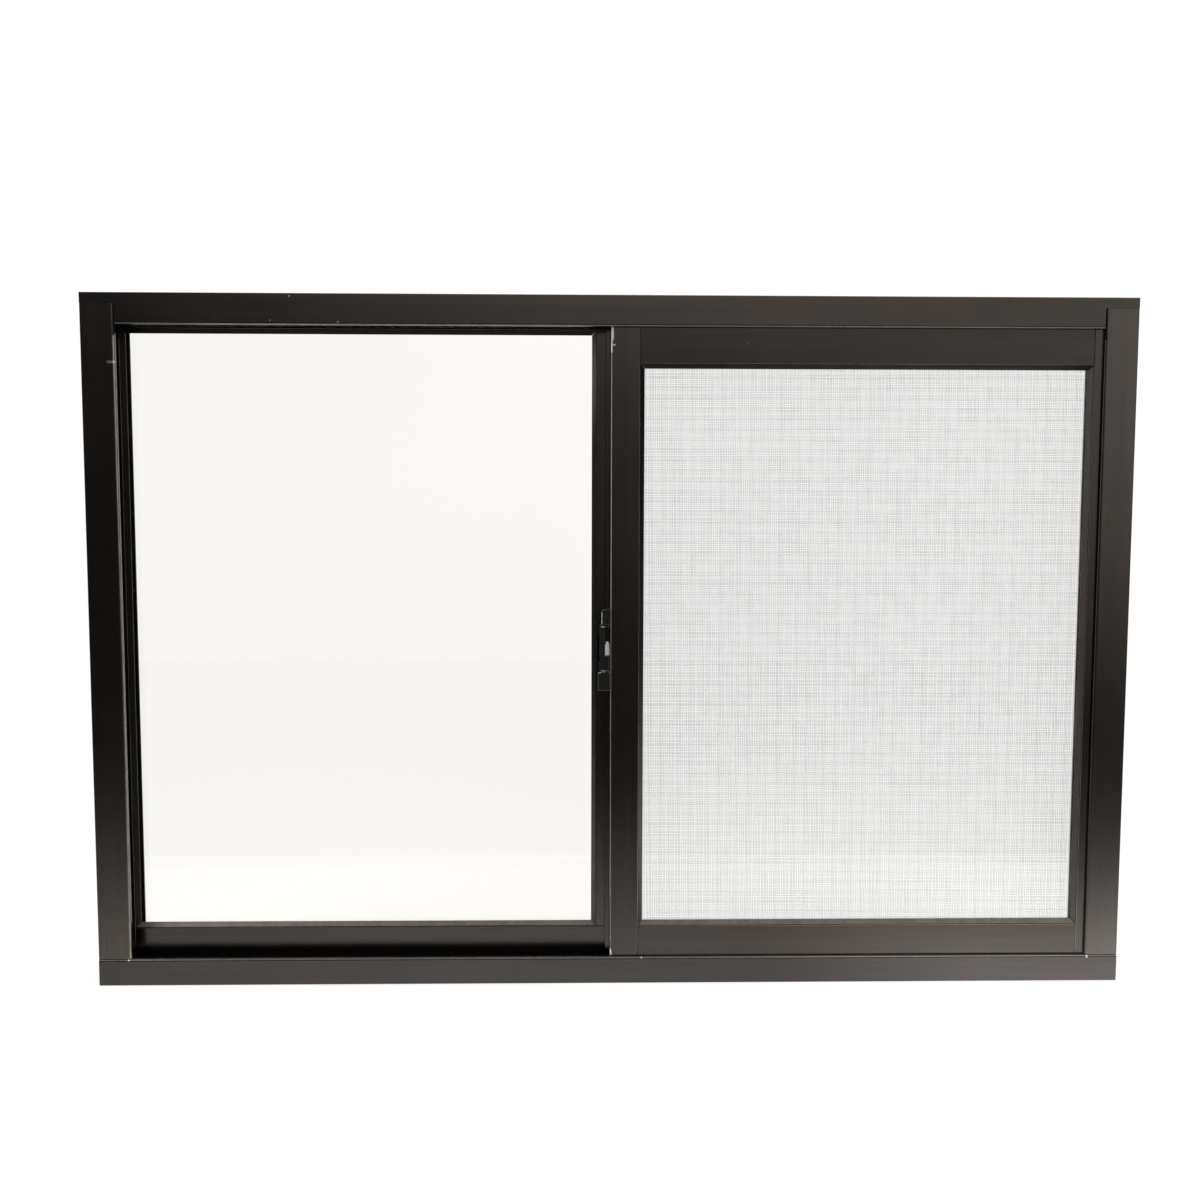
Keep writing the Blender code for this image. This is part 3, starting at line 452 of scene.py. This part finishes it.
def add_bump(tree, shader, height, strength, depth):
    bump = new_node(tree, "ShaderNodeBump")
    set_inputs(bump, {"Strength": strength, "Distance": depth})
    tree.links.new(height, bump.inputs["Height"])
    tree.links.new(bump.outputs["Normal"], shader.inputs["Normal"])


def new_group(name, inputs, outputs):
    """A shader node group with named inputs and value outputs, and its two end nodes."""
    group = bpy.data.node_groups.new(name, "ShaderNodeTree")
    for socket, kind in inputs.items():
        group.interface.new_socket(name=socket, in_out="INPUT", socket_type=kind)
    for socket in outputs:
        group.interface.new_socket(name=socket, in_out="OUTPUT", socket_type="NodeSocketFloat")
    return group, new_node(group, "NodeGroupInput"), new_node(group, "NodeGroupOutput")


def use_group(tree, group, values=None):
    node = new_node(tree, "ShaderNodeGroup", node_tree=group)
    set_inputs(node, values or {})
    return node


def die_line_group():
    """Fine streaks that an extrusion keeps from its die, and a broad mottle."""
    group, enter, leave = new_group("die_lines", {"Vector": "NodeSocketVector"}, ("Streaks", "Mottle"))
    fine = noise(group, enter.outputs["Vector"], FINE_LINES)
    broad = noise(group, enter.outputs["Vector"], BROAD_LINES)
    streaks = total(group, product(group, fine, FINE_SHARE), product(group, broad, BROAD_SHARE))
    group.links.new(streaks, leave.inputs["Streaks"])
    group.links.new(noise(group, object_place(group), MOTTLE), leave.inputs["Mottle"])
    return group


def dust_group():
    """Specks of dust and small pale chips, as two masks that come in patches."""
    group, _, leave = new_group("dust_and_chips", {}, ("Dust", "Chips"))
    place = object_place(group)
    for name, pattern, limits, patches, patch_limits in (
            ("Dust", SPECKS, SPECK_LIMITS, SPECK_PATCHES, SPECK_PATCH_LIMITS),
            ("Chips", CHIPS, CHIP_LIMITS, CHIP_PATCHES, CHIP_PATCH_LIMITS)):
        dots = spread(group, noise(group, place, pattern), limits)
        where = spread(group, noise(group, place, patches), patch_limits)
        group.links.new(product(group, dots, where), leave.inputs[name])
    return group


def pale_mark_group():
    """A pale mark around one point of the window, 1 inside and ragged at its border: a bare-metal scrape on
    the bars, a painted highlight on the latch.
    """
    inputs = {"Centre": "NodeSocketVector", "Half Size": "NodeSocketVector"}
    group, enter, leave = new_group("scrape_and_highlight", inputs, ("Scrape And Highlight",))
    place = object_place(group)
    away = vector_math(group, "SUBTRACT", place, enter.outputs["Centre"])
    share = vector_math(group, "DIVIDE", away, enter.outputs["Half Size"])
    ragged = product(group, noise(group, place, SCRAPE_BORDER), BORDER_SHARE)
    border = total(group, vector_math(group, "LENGTH", share), ragged)
    group.links.new(spread(group, border, SCRAPE_LIMITS, FALLING), leave.inputs["Scrape And Highlight"])
    return group


def dust_and_top_light_group():
    """Dust lying on faces that look up, which also stands for painted light falling on them from above, as a
    mask broken by noise.
    """
    group, _, leave = new_group("dust_and_top_light", {}, ("Dust And Top Light",))
    surface = new_node(group, "ShaderNodeNewGeometry")
    upward = spread(group, split(group, surface.outputs["Normal"])[2], UPWARD_LIMITS)
    uneven = spread(group, noise(group, object_place(group), DUST_AND_TOP_LIGHT_NOISE), NOISE_BREAK_LIMITS, DUST_AND_TOP_LIGHT_RANGE)
    group.links.new(product(group, upward, uneven), leave.inputs["Dust And Top Light"])
    return group


def edge_highlight_group():
    """Painted highlight on the rounded edges along the front of a bar, as a mask broken by noise, and the
    bar's cut ends, which get painted shade.
    """
    inputs = {"Along": "NodeSocketVector", "Upper Limit": "NodeSocketFloat",
              "Side Limit": "NodeSocketFloat"}
    group, enter, leave = new_group("painted_edge_highlights", inputs, ("Edge", "Cut End"))
    surface = new_node(group, "ShaderNodeNewGeometry")
    slope = vector_math(group, "ABSOLUTE", surface.outputs["Normal"])
    sideways, forwards, upwards = split(group, slope)
    flatness = largest(group, largest(group, sideways, forwards), upwards)
    rounded = spread(group, flatness, ROUNDED_LIMITS, FALLING)
    place = object_place(group)
    across, depth, height = split(group, place)
    above = math_node(group, "GREATER_THAN", height, enter.outputs["Upper Limit"])
    off_centre = math_node(group, "ABSOLUTE", across)
    aside = math_node(group, "GREATER_THAN", off_centre, enter.outputs["Side Limit"])
    cut = spread(group, vector_math(group, "DOT_PRODUCT", slope, enter.outputs["Along"]), CUT_END_LIMITS)
    cut = largest(group, cut, product(group, rounded, above))
    front = spread(group, depth, FRONT_DEPTHS, FALLING)
    uneven = spread(group, noise(group, place, EDGE_HIGHLIGHT_BREAKS), NOISE_BREAK_LIMITS, EDGE_HIGHLIGHT_RANGE)
    edge = product(group, product(group, rounded, front), uneven)
    open_edge = math_node(group, "SUBTRACT", 1.0, largest(group, cut, aside))
    group.links.new(product(group, edge, open_edge), leave.inputs["Edge"])
    group.links.new(cut, leave.inputs["Cut End"])
    return group


def pale_ends_group():
    """Paler colour towards the foot and towards the top of an upright, as two masks broken by noise."""
    group, _, leave = new_group("pale_ends", {}, ("Low", "High"))
    place = object_place(group)
    height = split(group, place)[2]
    uneven = spread(group, noise(group, place, PALE_ENDS_NOISE), NOISE_BREAK_LIMITS, PALE_ENDS_RANGE)
    for name, heights, ends in (("Low", PALE_FOOT_HEIGHTS, FALLING), ("High", PALE_TOP_HEIGHTS, RISING)):
        group.links.new(product(group, spread(group, height, heights, ends), uneven), leave.inputs[name])
    return group


def principled(name):
    material = bpy.data.materials.new(name)
    material.use_nodes = True
    return material, material.node_tree, material.node_tree.nodes["Principled BSDF"]


def anodised(name, groups, colour, grain, marks=(), metallic=BAR_METALLIC, roughness=BAR_ROUGHNESS,
             dust_and_top_light_share=BAR_DUST_AND_TOP_LIGHT, gleam=BAR_GLEAM, low=0.0, high=0.0, upper_limit=NO_LIMIT, side_limit=NO_LIMIT):
    """Bronze anodised aluminium.

    grain is the Object-coordinate scale that draws the die lines, gleam sets the painted highlight on the
    rounded edges, and dust_and_top_light_share, low and high are the shares of pale brown on faces that look
    up (dust and painted top light), at the foot and at the top.
    """
    material, tree, shader = principled(name)
    lines = use_group(tree, groups["die_lines"])
    tree.links.new(stretched_place(tree, grain), lines.inputs["Vector"])
    specks = use_group(tree, groups["dust_and_chips"])
    along = tuple(1.0 if share < 1 else 0.0 for share in grain)
    edges = use_group(tree, groups["painted_edge_highlights"],
                      {"Along": along, "Upper Limit": upper_limit, "Side Limit": side_limit})

    warm = tuple(channel * factor for channel, factor in zip(colour, WARM_SIDE))
    cool = tuple(channel * factor for channel, factor in zip(colour, COOL_SIDE))
    film = mix_colour(tree, spread(tree, lines.outputs["Mottle"], MOTTLE_LIMITS), cool, warm)
    streaks = spread(tree, lines.outputs["Streaks"], STREAK_LIMITS)
    film = mix_colour(tree, product(tree, streaks, STREAK_SHARE), film, shade(colour, STREAK_LIGHTER))
    film = mix_colour(tree, product(tree, specks.outputs["Dust"], SPECK_SHARE), film, SPECK_COLOUR)
    highlight_colour = tuple(min(channel, BRIGHTEST_EDGE) for channel in shade(colour, gleam))
    # Painted highlight on the rounded front edges
    film = mix_colour(tree, product(tree, edges.outputs["Edge"], EDGE_SHARE), film, highlight_colour)
    # Painted shade at the cut ends and in the joints
    film = mix_colour(tree, product(tree, edges.outputs["Cut End"], EDGE_SHARE), film, CUT_END_SHADE)

    pale_marks = specks.outputs["Chips"]
    for centre, half_size in marks:
        mark = use_group(tree, groups["scrape_and_highlight"], {"Centre": centre, "Half Size": half_size})
        pale_marks = largest(tree, pale_marks, mark.outputs["Scrape And Highlight"])
    film = mix_colour(tree, pale_marks, film, BARE_AND_HIGHLIGHT_COLOUR)

    # Dust and painted top light on faces that look up, and paler ends on the uprights
    pale_film = product(tree, use_group(tree, groups["dust_and_top_light"]).outputs["Dust And Top Light"], dust_and_top_light_share)
    ends = use_group(tree, groups["pale_ends"])
    for side, share in (("Low", low), ("High", high)):
        pale_film = largest(tree, pale_film, product(tree, ends.outputs[side], share))
    film = mix_colour(tree, pale_film, film, PALE_BROWN)
    tree.links.new(film, shader.inputs["Base Color"])
    metal_share = math_node(tree, "SUBTRACT", 1.0, pale_film)
    tree.links.new(product(tree, metal_share, metallic), shader.inputs["Metallic"])

    satin_ends = tuple(roughness + change for change in SATIN_VARIATION)
    satin = spread(tree, lines.outputs["Mottle"], SATIN_LIMITS, satin_ends)
    satin = total(tree, satin, product(tree, specks.outputs["Dust"], SPECK_ROUGHNESS))
    tree.links.new(satin, shader.inputs["Roughness"])
    add_bump(tree, shader, lines.outputs["Streaks"], LINE_BUMP, LINE_DEPTH)
    return material


def pane_glass(name, tint):
    """Clear glass with faint smears."""
    material, tree, shader = principled(name)
    place = object_place(tree)
    smears = spread(tree, noise(tree, place, GLASS_SMEARS), SMEAR_LIMITS, (0.0, PANE_SMEAR))
    shades = spread(tree, noise(tree, place, GLASS_SHADES), SATIN_LIMITS)
    tree.links.new(mix_colour(tree, shades, tint, shade(tint, PANE_DARKER)), shader.inputs["Base Color"])
    tree.links.new(smears, shader.inputs["Roughness"])
    set_inputs(shader, {"IOR": GLASS_IOR, "Transmission Weight": 1.0})
    return material


def wire_metal(name):
    """Tarnished wire, paler near the bottom of the screen."""
    material, tree, shader = principled(name)
    place = object_place(tree)
    tarnish = spread(tree, noise(tree, place, TARNISH), TARNISH_LIMITS)
    pale = spread(tree, split(tree, place)[2], PALE_WIRE_HEIGHTS, PALE_WIRE_RANGE)
    wire = mix_colour(tree, tarnish, WIRE_COLOUR, TARNISHED_COLOUR)
    tree.links.new(mix_colour(tree, pale, wire, PALE_WIRE_COLOUR), shader.inputs["Base Color"])
    tree.links.new(spread(tree, tarnish, WHOLE_RANGE, WIRE_ROUGHNESS), shader.inputs["Roughness"])
    set_inputs(shader, {"Metallic": WIRE_METALLIC})
    return material


def bright_metal(name, metallic=1.0):
    """Bare brushed metal."""
    material, tree, shader = principled(name)
    brushed = noise(tree, stretched_place(tree, BRUSH_STRETCH), BRUSHING)
    colour = mix_colour(tree, spread(tree, brushed, SATIN_LIMITS), BRIGHT_COLOUR, DULL_COLOUR)
    tree.links.new(colour, shader.inputs["Base Color"])
    tree.links.new(spread(tree, brushed, SATIN_LIMITS, BRIGHT_ROUGHNESS), shader.inputs["Roughness"])
    set_inputs(shader, {"Metallic": metallic})
    return material


def moulded(name, colour, roughness, scale, depth):
    """Moulded plastic, rubber or pile: fine texture in colour, roughness and bump."""
    material, tree, shader = principled(name)
    texture = noise(tree, object_place(tree), (scale, *MOULDED_DETAIL))
    mottled = mix_colour(tree, spread(tree, texture, MOTTLE_LIMITS), colour, shade(colour, MOULDED_LIGHTER))
    tree.links.new(mottled, shader.inputs["Base Color"])
    rough_ends = (roughness - MOULDED_VARIATION, roughness + MOULDED_VARIATION)
    tree.links.new(spread(tree, texture, SATIN_LIMITS, rough_ends), shader.inputs["Roughness"])
    add_bump(tree, shader, texture, MOULDED_BUMP, depth)
    return material


def finish_node(node, material, edge=None):
    """Give a CAD node its material and, where edge is set, softly rounded edges."""
    for slot in node.material_slots:
        slot.material = material
    if edge is None:
        return
    weld = node.modifiers.new("weld", "WELD")
    weld.merge_threshold = WELD_DISTANCE
    bevel = node.modifiers.new("soft_edges", "BEVEL")
    bevel.width = edge
    bevel.segments = EDGE_SEGMENTS
    bevel.limit_method = "ANGLE"
    bevel.angle_limit = EDGE_ANGLE
    bevel.use_clamp_overlap = True


def finish_solids():
    """Give every CAD node its finish."""
    groups = {"die_lines": die_line_group(), "dust_and_chips": dust_group(), "scrape_and_highlight": pale_mark_group(),
              "dust_and_top_light": dust_and_top_light_group(), "painted_edge_highlights": edge_highlight_group(),
              "pale_ends": pale_ends_group()}
    # Painted light on the jambs and painted shade on the sash's top rail, as lighter and darker copies of the
    # bronze
    lit_jamb_bronze = shade(BRONZE, JAMB_LIT_SHARE)
    shaded_top_rail_bronze = shade(BRONZE, TOP_RAIL_SHADE_SHARE)
    bars = dict.fromkeys(HORIZONTAL_BARS, anodised("bronze_anodised_bar", groups, BRONZE, ALONG_X,
                                                   HEAD_AND_SILL_MARKS))
    bars |= dict.fromkeys(UPRIGHT_BARS, anodised("bronze_anodised_upright", groups, BRONZE, ALONG_Z,
                                                 UPRIGHT_MARKS))
    bars["frame_sill"] = anodised("bronze_anodised_sill", groups, SILL_BRONZE, ALONG_X, HEAD_AND_SILL_MARKS,
                                  gleam=SILL_GLEAM, side_limit=JAMB_EDGE_SIDE)
    bars["frame_left_jamb"] = anodised("bronze_anodised_left_jamb", groups, lit_jamb_bronze, ALONG_Z,
                                       UPRIGHT_MARKS, gleam=LEFT_JAMB_GLEAM, upper_limit=JAMB_EDGE_TOP)
    bars["frame_right_jamb"] = anodised("bronze_anodised_right_jamb", groups, lit_jamb_bronze, ALONG_Z,
                                        gleam=RIGHT_JAMB_GLEAM, upper_limit=JAMB_EDGE_TOP)
    bars["sash_top_rail"] = anodised("bronze_anodised_shaded_top_rail", groups, shaded_top_rail_bronze, ALONG_X,
                                     roughness=TOP_RAIL_ROUGHNESS)
    for name, finish in bars.items():
        finish_node(nodes[name], finish, BAR_EDGE)

    # The beads' dark colour paints the shade in the glazing pockets; the sash's right bead is lighter as
    # painted light
    beads = dict.fromkeys(PLAIN_BEADS, anodised("bead_anodised_bar", groups, SHADED_BEAD_TONE, ALONG_X,
                                                **BEAD_FINISH))
    beads["fixed_bead_left"] = anodised("bead_anodised_upright", groups, SHADED_BEAD_TONE, ALONG_Z, **BEAD_FINISH)
    beads["fixed_bead_right"] = anodised("pale_ends_bead_anodised_upright", groups, SHADED_BEAD_TONE, ALONG_Z,
                                         **PALE_ENDS_BEAD_FINISH)
    beads["sash_bead_left"] = anodised("sash_left_bead_anodised", groups, SHADED_BEAD_TONE, ALONG_Z,
                                       **PALE_FOOT_BEAD_FINISH)
    beads["sash_bead_right"] = anodised("sash_right_bead_lit_anodised", groups, LIT_RIGHT_BEAD_TONE, ALONG_Z,
                                        **LIT_RIGHT_BEAD_FINISH)
    for name, finish in beads.items():
        finish_node(nodes[name], finish, BEAD_EDGE)

    latch = anodised("latch_coating", groups, LATCH_COLOUR, NO_DIRECTION, LATCH_HIGHLIGHT_MARKS, **LATCH_FINISH)
    for name in LATCH_PIECES:
        finish_node(nodes[name], latch, LATCH_EDGE)
    finish_node(nodes["latch_tongue"], bright_metal("bright_tongue", TONGUE_METALLIC), TONGUE_EDGE)
    finish_node(nodes["fixed_glass"], pane_glass("fixed_pane", FIXED_PANE_TINT))
    finish_node(nodes["sash_glass"], pane_glass("sash_pane", SASH_PANE_TINT))
    nylon = moulded("black_nylon_moulding", *NYLON)
    rubber = moulded("screen_cord_rubber", *SPLINE_RUBBER)
    pile = moulded("brushed_pile", *PILE)
    for name in PLASTIC_PIECES:
        finish_node(nodes[name], nylon, PLASTIC_EDGE)
    for name in SPLINES:
        finish_node(nodes[name], rubber)
    for name in PILE_STRIPS:
        finish_node(nodes[name], pile)


def piece_from_mesh(name, mesh, material):
    data = bpy.data.meshes.new(name)
    mesh.to_mesh(data)
    mesh.free()
    data.materials.append(material)
    piece = bpy.data.objects.new(name, data)
    bpy.context.collection.objects.link(piece)
    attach(piece, "root")
    return piece


def box_corners(name):
    return [Vector(corner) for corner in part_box(name)]


def capped_circle(mesh, sides, radius, place):
    """A flat face of many sides, as the list of one face that the extrusions take."""
    made = bmesh.ops.create_circle(mesh, cap_ends=True, segments=sides, radius=radius, matrix=place)
    return list({face for corner in made["verts"] for face in corner.link_faces})


def stretched_wire(mesh, start, along, length, across, phase):
    """One wire pushed out in steps, swaying a little from step to step."""
    turn = along.to_track_quat("Z", "Y").to_matrix().to_4x4()
    tip = capped_circle(mesh, WIRE_SIDES, WIRE_DIAMETER / 2, Matrix.Translation(start) @ turn)
    push = along * (length / WIRE_BENDS)
    for step in range(WIRE_BENDS):
        tip = bmesh.ops.extrude_discrete_faces(mesh, faces=tip)["faces"]
        corners = list({corner for face in tip for corner in face.verts})
        swing = WIRE_SWAY * (math.sin(phase + SWAY_STEP * (step + 1)) - math.sin(phase + SWAY_STEP * step))
        bmesh.ops.translate(mesh, verts=corners, vec=push + across * swing)


def repeat(piece, count, offset):
    array = piece.modifiers.new("repeat", "ARRAY")
    array.use_relative_offset = False
    array.use_constant_offset = True
    array.constant_offset_displace = offset
    array.count = count


def wire_family(name, material, start, along, across, length, reach, pitch, group):
    """Parallel wires with uneven gaps: one group is made, then repeated over the whole reach."""
    repeats = max(1, round(reach / pitch / group))
    pitch = reach / (repeats * group)
    turn, first = FIRST_DRIFT
    mesh = bmesh.new()
    for index in range(group):
        drift = math.sin(turn * index + first) + SECOND_DRIFT_SHARE * math.sin(SECOND_DRIFT * index)
        place = start + across * (pitch * (index + 0.5) + UNEVEN_GAPS * drift)
        stretched_wire(mesh, place, along, length, across, SWAY_TURN * index + SWAY_START)
    piece = piece_from_mesh(name, mesh, material)
    repeat(piece, repeats, across * (pitch * group))
    return piece


def make_weave(material):
    """Weft and warp of the insect screen, in the place of the plain lattice."""
    finish_node(nodes["screen_mesh"], material)
    low, high = box_corners("screen_mesh")
    middle = (low.y + high.y) / 2
    right = Vector((1, 0, 0))
    up = Vector((0, 0, 1))
    rows = wire_family("screen_weft", material, Vector((low.x, middle - WIRE_DIAMETER / 2, low.z)), right, up,
                       high.x - low.x, high.z - low.z, WEFT_PITCH, WEFT_GROUP)
    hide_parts("screen_mesh")
    wire_family("screen_warp", material, Vector((low.x, middle + WIRE_DIAMETER / 2, low.z)), up, right,
                high.z - low.z, high.x - low.x, WARP_PITCH, WARP_GROUP)


def hex_screw(mesh, place, outward):
    """A hex washer-head screw seated on a web, pointing outwards."""
    seat = Matrix.Translation(place) @ outward.to_track_quat("Z", "Y").to_matrix().to_4x4()
    for sides, radius, base, rise, inset, last_step in SCREW_TIERS:
        face = capped_circle(mesh, sides, radius, seat @ Matrix.Translation((0, 0, base)))
        grown = bmesh.ops.extrude_face_region(mesh, geom=face)["geom"]
        corners = [item for item in grown if isinstance(item, bmesh.types.BMVert)]
        bmesh.ops.translate(mesh, verts=corners, vec=outward * rise)
        top = [item for item in grown if isinstance(item, bmesh.types.BMFace)]
        bmesh.ops.inset_region(mesh, faces=top, thickness=inset)
        corners = list({corner for item in top for corner in item.verts})
        bmesh.ops.translate(mesh, verts=corners, vec=outward * last_step)


def make_screws(material):
    """Two screws through each end of each jamb, into the ports of sill and head."""
    sill_low = box_corners("frame_sill")[0]
    head_high = box_corners("frame_head")[1]
    heights = (sill_low.z + SCREW_INSET, head_high.z - SCREW_INSET)
    for side, sign in (("left", -1), ("right", 1)):
        low, high = box_corners(f"frame_{side}_jamb")
        web = (low.x if sign < 0 else high.x) - sign * JAMB_WEB_OUTSIDE
        mesh = bmesh.new()
        for depth in SCREW_DEPTHS:
            for height in heights:
                hex_screw(mesh, Vector((web, depth, height)), Vector((sign, 0, 0)))
        bmesh.ops.recalc_face_normals(mesh, faces=mesh.faces)
        piece_from_mesh(f"corner_screws_{side}", mesh, material)


def make_joint_seals(material):
    """Hairlines of sealant where each jamb flange butts against the strip of the head."""
    size = (JOINT_WIDTH, JOINT_BACK - JOINT_FRONT, JOINT_GAP)
    for side, sign in (("left", 1), ("right", -1)):
        low, high = box_corners(f"frame_{side}_jamb")
        across = (low.x if sign > 0 else high.x) + sign * (JOINT_INSET + JOINT_WIDTH / 2)
        middle = Vector((across, (JOINT_FRONT + JOINT_BACK) / 2, high.z + JOINT_GAP / 2))
        mesh = bmesh.new()
        bmesh.ops.create_cube(mesh, size=1, matrix=Matrix.Translation(middle) @ Matrix.Diagonal((*size, 1)))
        piece_from_mesh(f"joint_seal_{side}", mesh, material)


def seen_and_mirrored(tree):
    """Masks of the rays that come straight or through glass, and of those that metal mirrors."""
    path = new_node(tree, "ShaderNodeLightPath")
    through = path.outputs["Is Transmission Ray"]
    seen = largest(tree, path.outputs["Is Camera Ray"], through)
    mirrored = math_node(tree, "SUBTRACT", path.outputs["Is Glossy Ray"], through, clamp=True)
    return seen, mirrored


def glowing_stage(name, colour, light, roughness):
    """A matt stage material whose own light the masks of rays will set."""
    material, tree, shader = principled(name)
    set_inputs(shader, {"Base Color": (*colour, 1.0), "Roughness": roughness, "Specular IOR Level": 0.0,
                        "Emission Color": (*light, 1.0)})
    return material, tree, shader


def floor_paper():
    """White floor that metal sees bright beside the window and darker towards the camera."""
    material, tree, shader = glowing_stage("floor_paper", FLOOR_COLOUR, PAPER_LIGHT, PAPER_ROUGHNESS)
    seen, mirrored = seen_and_mirrored(tree)
    across, depth, _ = split(tree, object_place(tree))
    away = largest(tree, spread(tree, depth, FLOOR_STEP), spread(tree, depth, FLOOR_FADE, FALLING))
    tree.links.new(mix_colour(tree, away, FLOOR_COLOUR, FAR_FLOOR_COLOUR), shader.inputs["Base Color"])
    shown = product(tree, seen, spread(tree, away, WHOLE_RANGE, FLOOR_SHOWN))
    near = spread(tree, depth, (FLOOR_EDGE, 0.0), FLOOR_NEAR_GLOW)
    sides = total(tree, spread(tree, across, FLOOR_LEFT_RANGE, FLOOR_LEFT_GLOW),
                  spread(tree, across, FLOOR_RIGHT_RANGE, FLOOR_RIGHT_GLOW))
    glow = product(tree, math_node(tree, "POWER", near, FLOOR_GLOW_FALL), sides)
    strength = total(tree, shown, product(tree, mirrored, glow))
    tree.links.new(strength, shader.inputs["Emission Strength"])
    return material


def backdrop_paper():
    material, tree, shader = glowing_stage("backdrop_paper", BACKDROP_COLOUR, PAPER_LIGHT, PAPER_ROUGHNESS)
    seen, mirrored = seen_and_mirrored(tree)
    strength = total(tree, seen, product(tree, mirrored, BACKDROP_GLOW))
    tree.links.new(strength, shader.inputs["Emission Strength"])
    return material


def room_wall_paint():
    """Dim studio wall behind the camera, brighter to the right and upwards, which only metal sees."""
    material, tree, shader = glowing_stage("room_wall_paint", WALL_COLOUR, WALL_LIGHT, WALL_ROUGHNESS)
    _, mirrored = seen_and_mirrored(tree)
    across, _, height = split(tree, object_place(tree))
    right = spread(tree, across, WALL_SIDE_RANGE)
    raised = product(tree, spread(tree, height, WALL_RISE_RANGE),
                     spread(tree, height, WALL_DROP_RANGE, WALL_DROP))
    middle = product(tree, spread(tree, across, WALL_MIDDLE_LEFT),
                     spread(tree, across, WALL_MIDDLE_RIGHT, WALL_MIDDLE_DROP))
    high = spread(tree, height, WALL_TOP_RANGE)
    side_glow = product(tree, product(tree, product(tree, right, right), raised), WALL_RIGHT_GLOW)
    top_glow = product(tree, product(tree, middle, high), WALL_TOP_GLOW)
    glow = total(tree, total(tree, side_glow, top_glow), WALL_GLOW)
    tree.links.new(product(tree, mirrored, glow), shader.inputs["Emission Strength"])
    return material


def side_wall_paint(name, low_glow):
    """Dim side wall that only metal sees, with another glow above the window."""
    material, tree, shader = glowing_stage(name, WALL_COLOUR, WALL_LIGHT, WALL_ROUGHNESS)
    _, mirrored = seen_and_mirrored(tree)
    height = split(tree, object_place(tree))[2]
    glow = spread(tree, height, SIDE_WALL_RANGE, (low_glow, SIDE_WALL_TOP_GLOW))
    tree.links.new(product(tree, mirrored, glow), shader.inputs["Emission Strength"])
    return material


def metal_sees_only(plane):
    plane.visible_camera = False
    plane.visible_transmission = False
    plane.visible_diffuse = False
    plane.visible_shadow = False


def stage_plane(name, material, corners):
    mesh = bmesh.new()
    mesh.faces.new([mesh.verts.new(corner) for corner in corners])
    data = bpy.data.meshes.new(name)
    mesh.to_mesh(data)
    mesh.free()
    data.materials.append(material)
    plane = bpy.data.objects.new(name, data)
    bpy.context.collection.objects.link(plane)
    return plane


def upright_corners(start, end, bottom, top):
    """Corners of an upright rectangle between two places on the ground."""
    return [(*start, bottom), (*end, bottom), (*end, top), (*start, top)]


def make_stage(floor_height):
    """Floor, backdrop and the walls around the camera."""
    stage_plane("floor", floor_paper(), [
        (-STAGE_SIDE, FLOOR_EDGE, floor_height), (STAGE_SIDE, FLOOR_EDGE, floor_height),
        (STAGE_SIDE, STAGE_BACK, floor_height), (-STAGE_SIDE, STAGE_BACK, floor_height)])
    stage_plane("backdrop", backdrop_paper(), upright_corners(
        (-STAGE_SIDE, STAGE_BACK), (STAGE_SIDE, STAGE_BACK), floor_height, STAGE_TOP))
    wall = stage_plane("room_wall", room_wall_paint(), upright_corners(
        (-ROOM_SIDE, ROOM_END), (ROOM_SIDE, ROOM_END), ROOM_BOTTOM, ROOM_TOP))
    metal_sees_only(wall)
    for side, across in (("left", -ROOM_SIDE), ("right", ROOM_SIDE)):
        paint = side_wall_paint(f"{side}_wall_paint", SIDE_WALL_GLOW[side])
        wall = stage_plane(f"{side}_wall", paint, upright_corners(
            (across, ROOM_END), (across, 0), ROOM_BOTTOM, ROOM_TOP))
        metal_sees_only(wall)


def make_air():
    """World light, which the camera and metal see brighter."""
    world = bpy.data.worlds.new("studio_air")
    bpy.context.scene.world = world
    world.use_nodes = True
    tree = world.node_tree
    background = tree.nodes["Background"]
    background.inputs["Color"].default_value = (*AIR_LIGHT, 1.0)
    seen, mirrored = seen_and_mirrored(tree)
    strength = total(tree, product(tree, seen, AIR_SHOWN), AIR_STRENGTH)
    strength = total(tree, strength, product(tree, mirrored, AIR_MIRRORED))
    tree.links.new(strength, background.inputs["Strength"])


def make_lamps():
    for name, place, aim, size, power in LAMPS:
        data = bpy.data.lights.new(name, "AREA")
        data.size = size
        data.energy = power
        lamp = bpy.data.objects.new(name, data)
        bpy.context.collection.objects.link(lamp)
        lamp.location = place
        lamp.rotation_euler = (Vector(aim) - Vector(place)).to_track_quat("-Z", "Y").to_euler()


def make_camera():
    data = bpy.data.cameras.new("camera")
    data.lens = CAMERA_LENS
    data.sensor_width = CAMERA_SENSOR
    camera = bpy.data.objects.new("camera", data)
    bpy.context.collection.objects.link(camera)
    yaw = Matrix.Rotation(CAMERA_YAW, 4, "Z")
    pitch = Matrix.Rotation(CAMERA_PITCH, 4, "X")
    roll = Matrix.Rotation(CAMERA_ROLL, 4, "Y")
    looking_along_y = Matrix.Rotation(math.radians(90), 4, "X")
    camera.matrix_world = Matrix.Translation(CAMERA_PLACE) @ yaw @ pitch @ roll @ looking_along_y
    bpy.context.scene.camera = camera


def main():
    make_camera()
    finish_solids()
    make_weave(wire_metal("screen_wire_metal"))
    make_screws(bright_metal("bare_screw_metal"))
    make_joint_seals(moulded("joint_sealant", *SEALANT))
    make_stage(solid_box[0][2] - FLOOR_BELOW)
    make_air()
    make_lamps()
    bpy.context.scene.view_settings.view_transform = "Standard"


main()
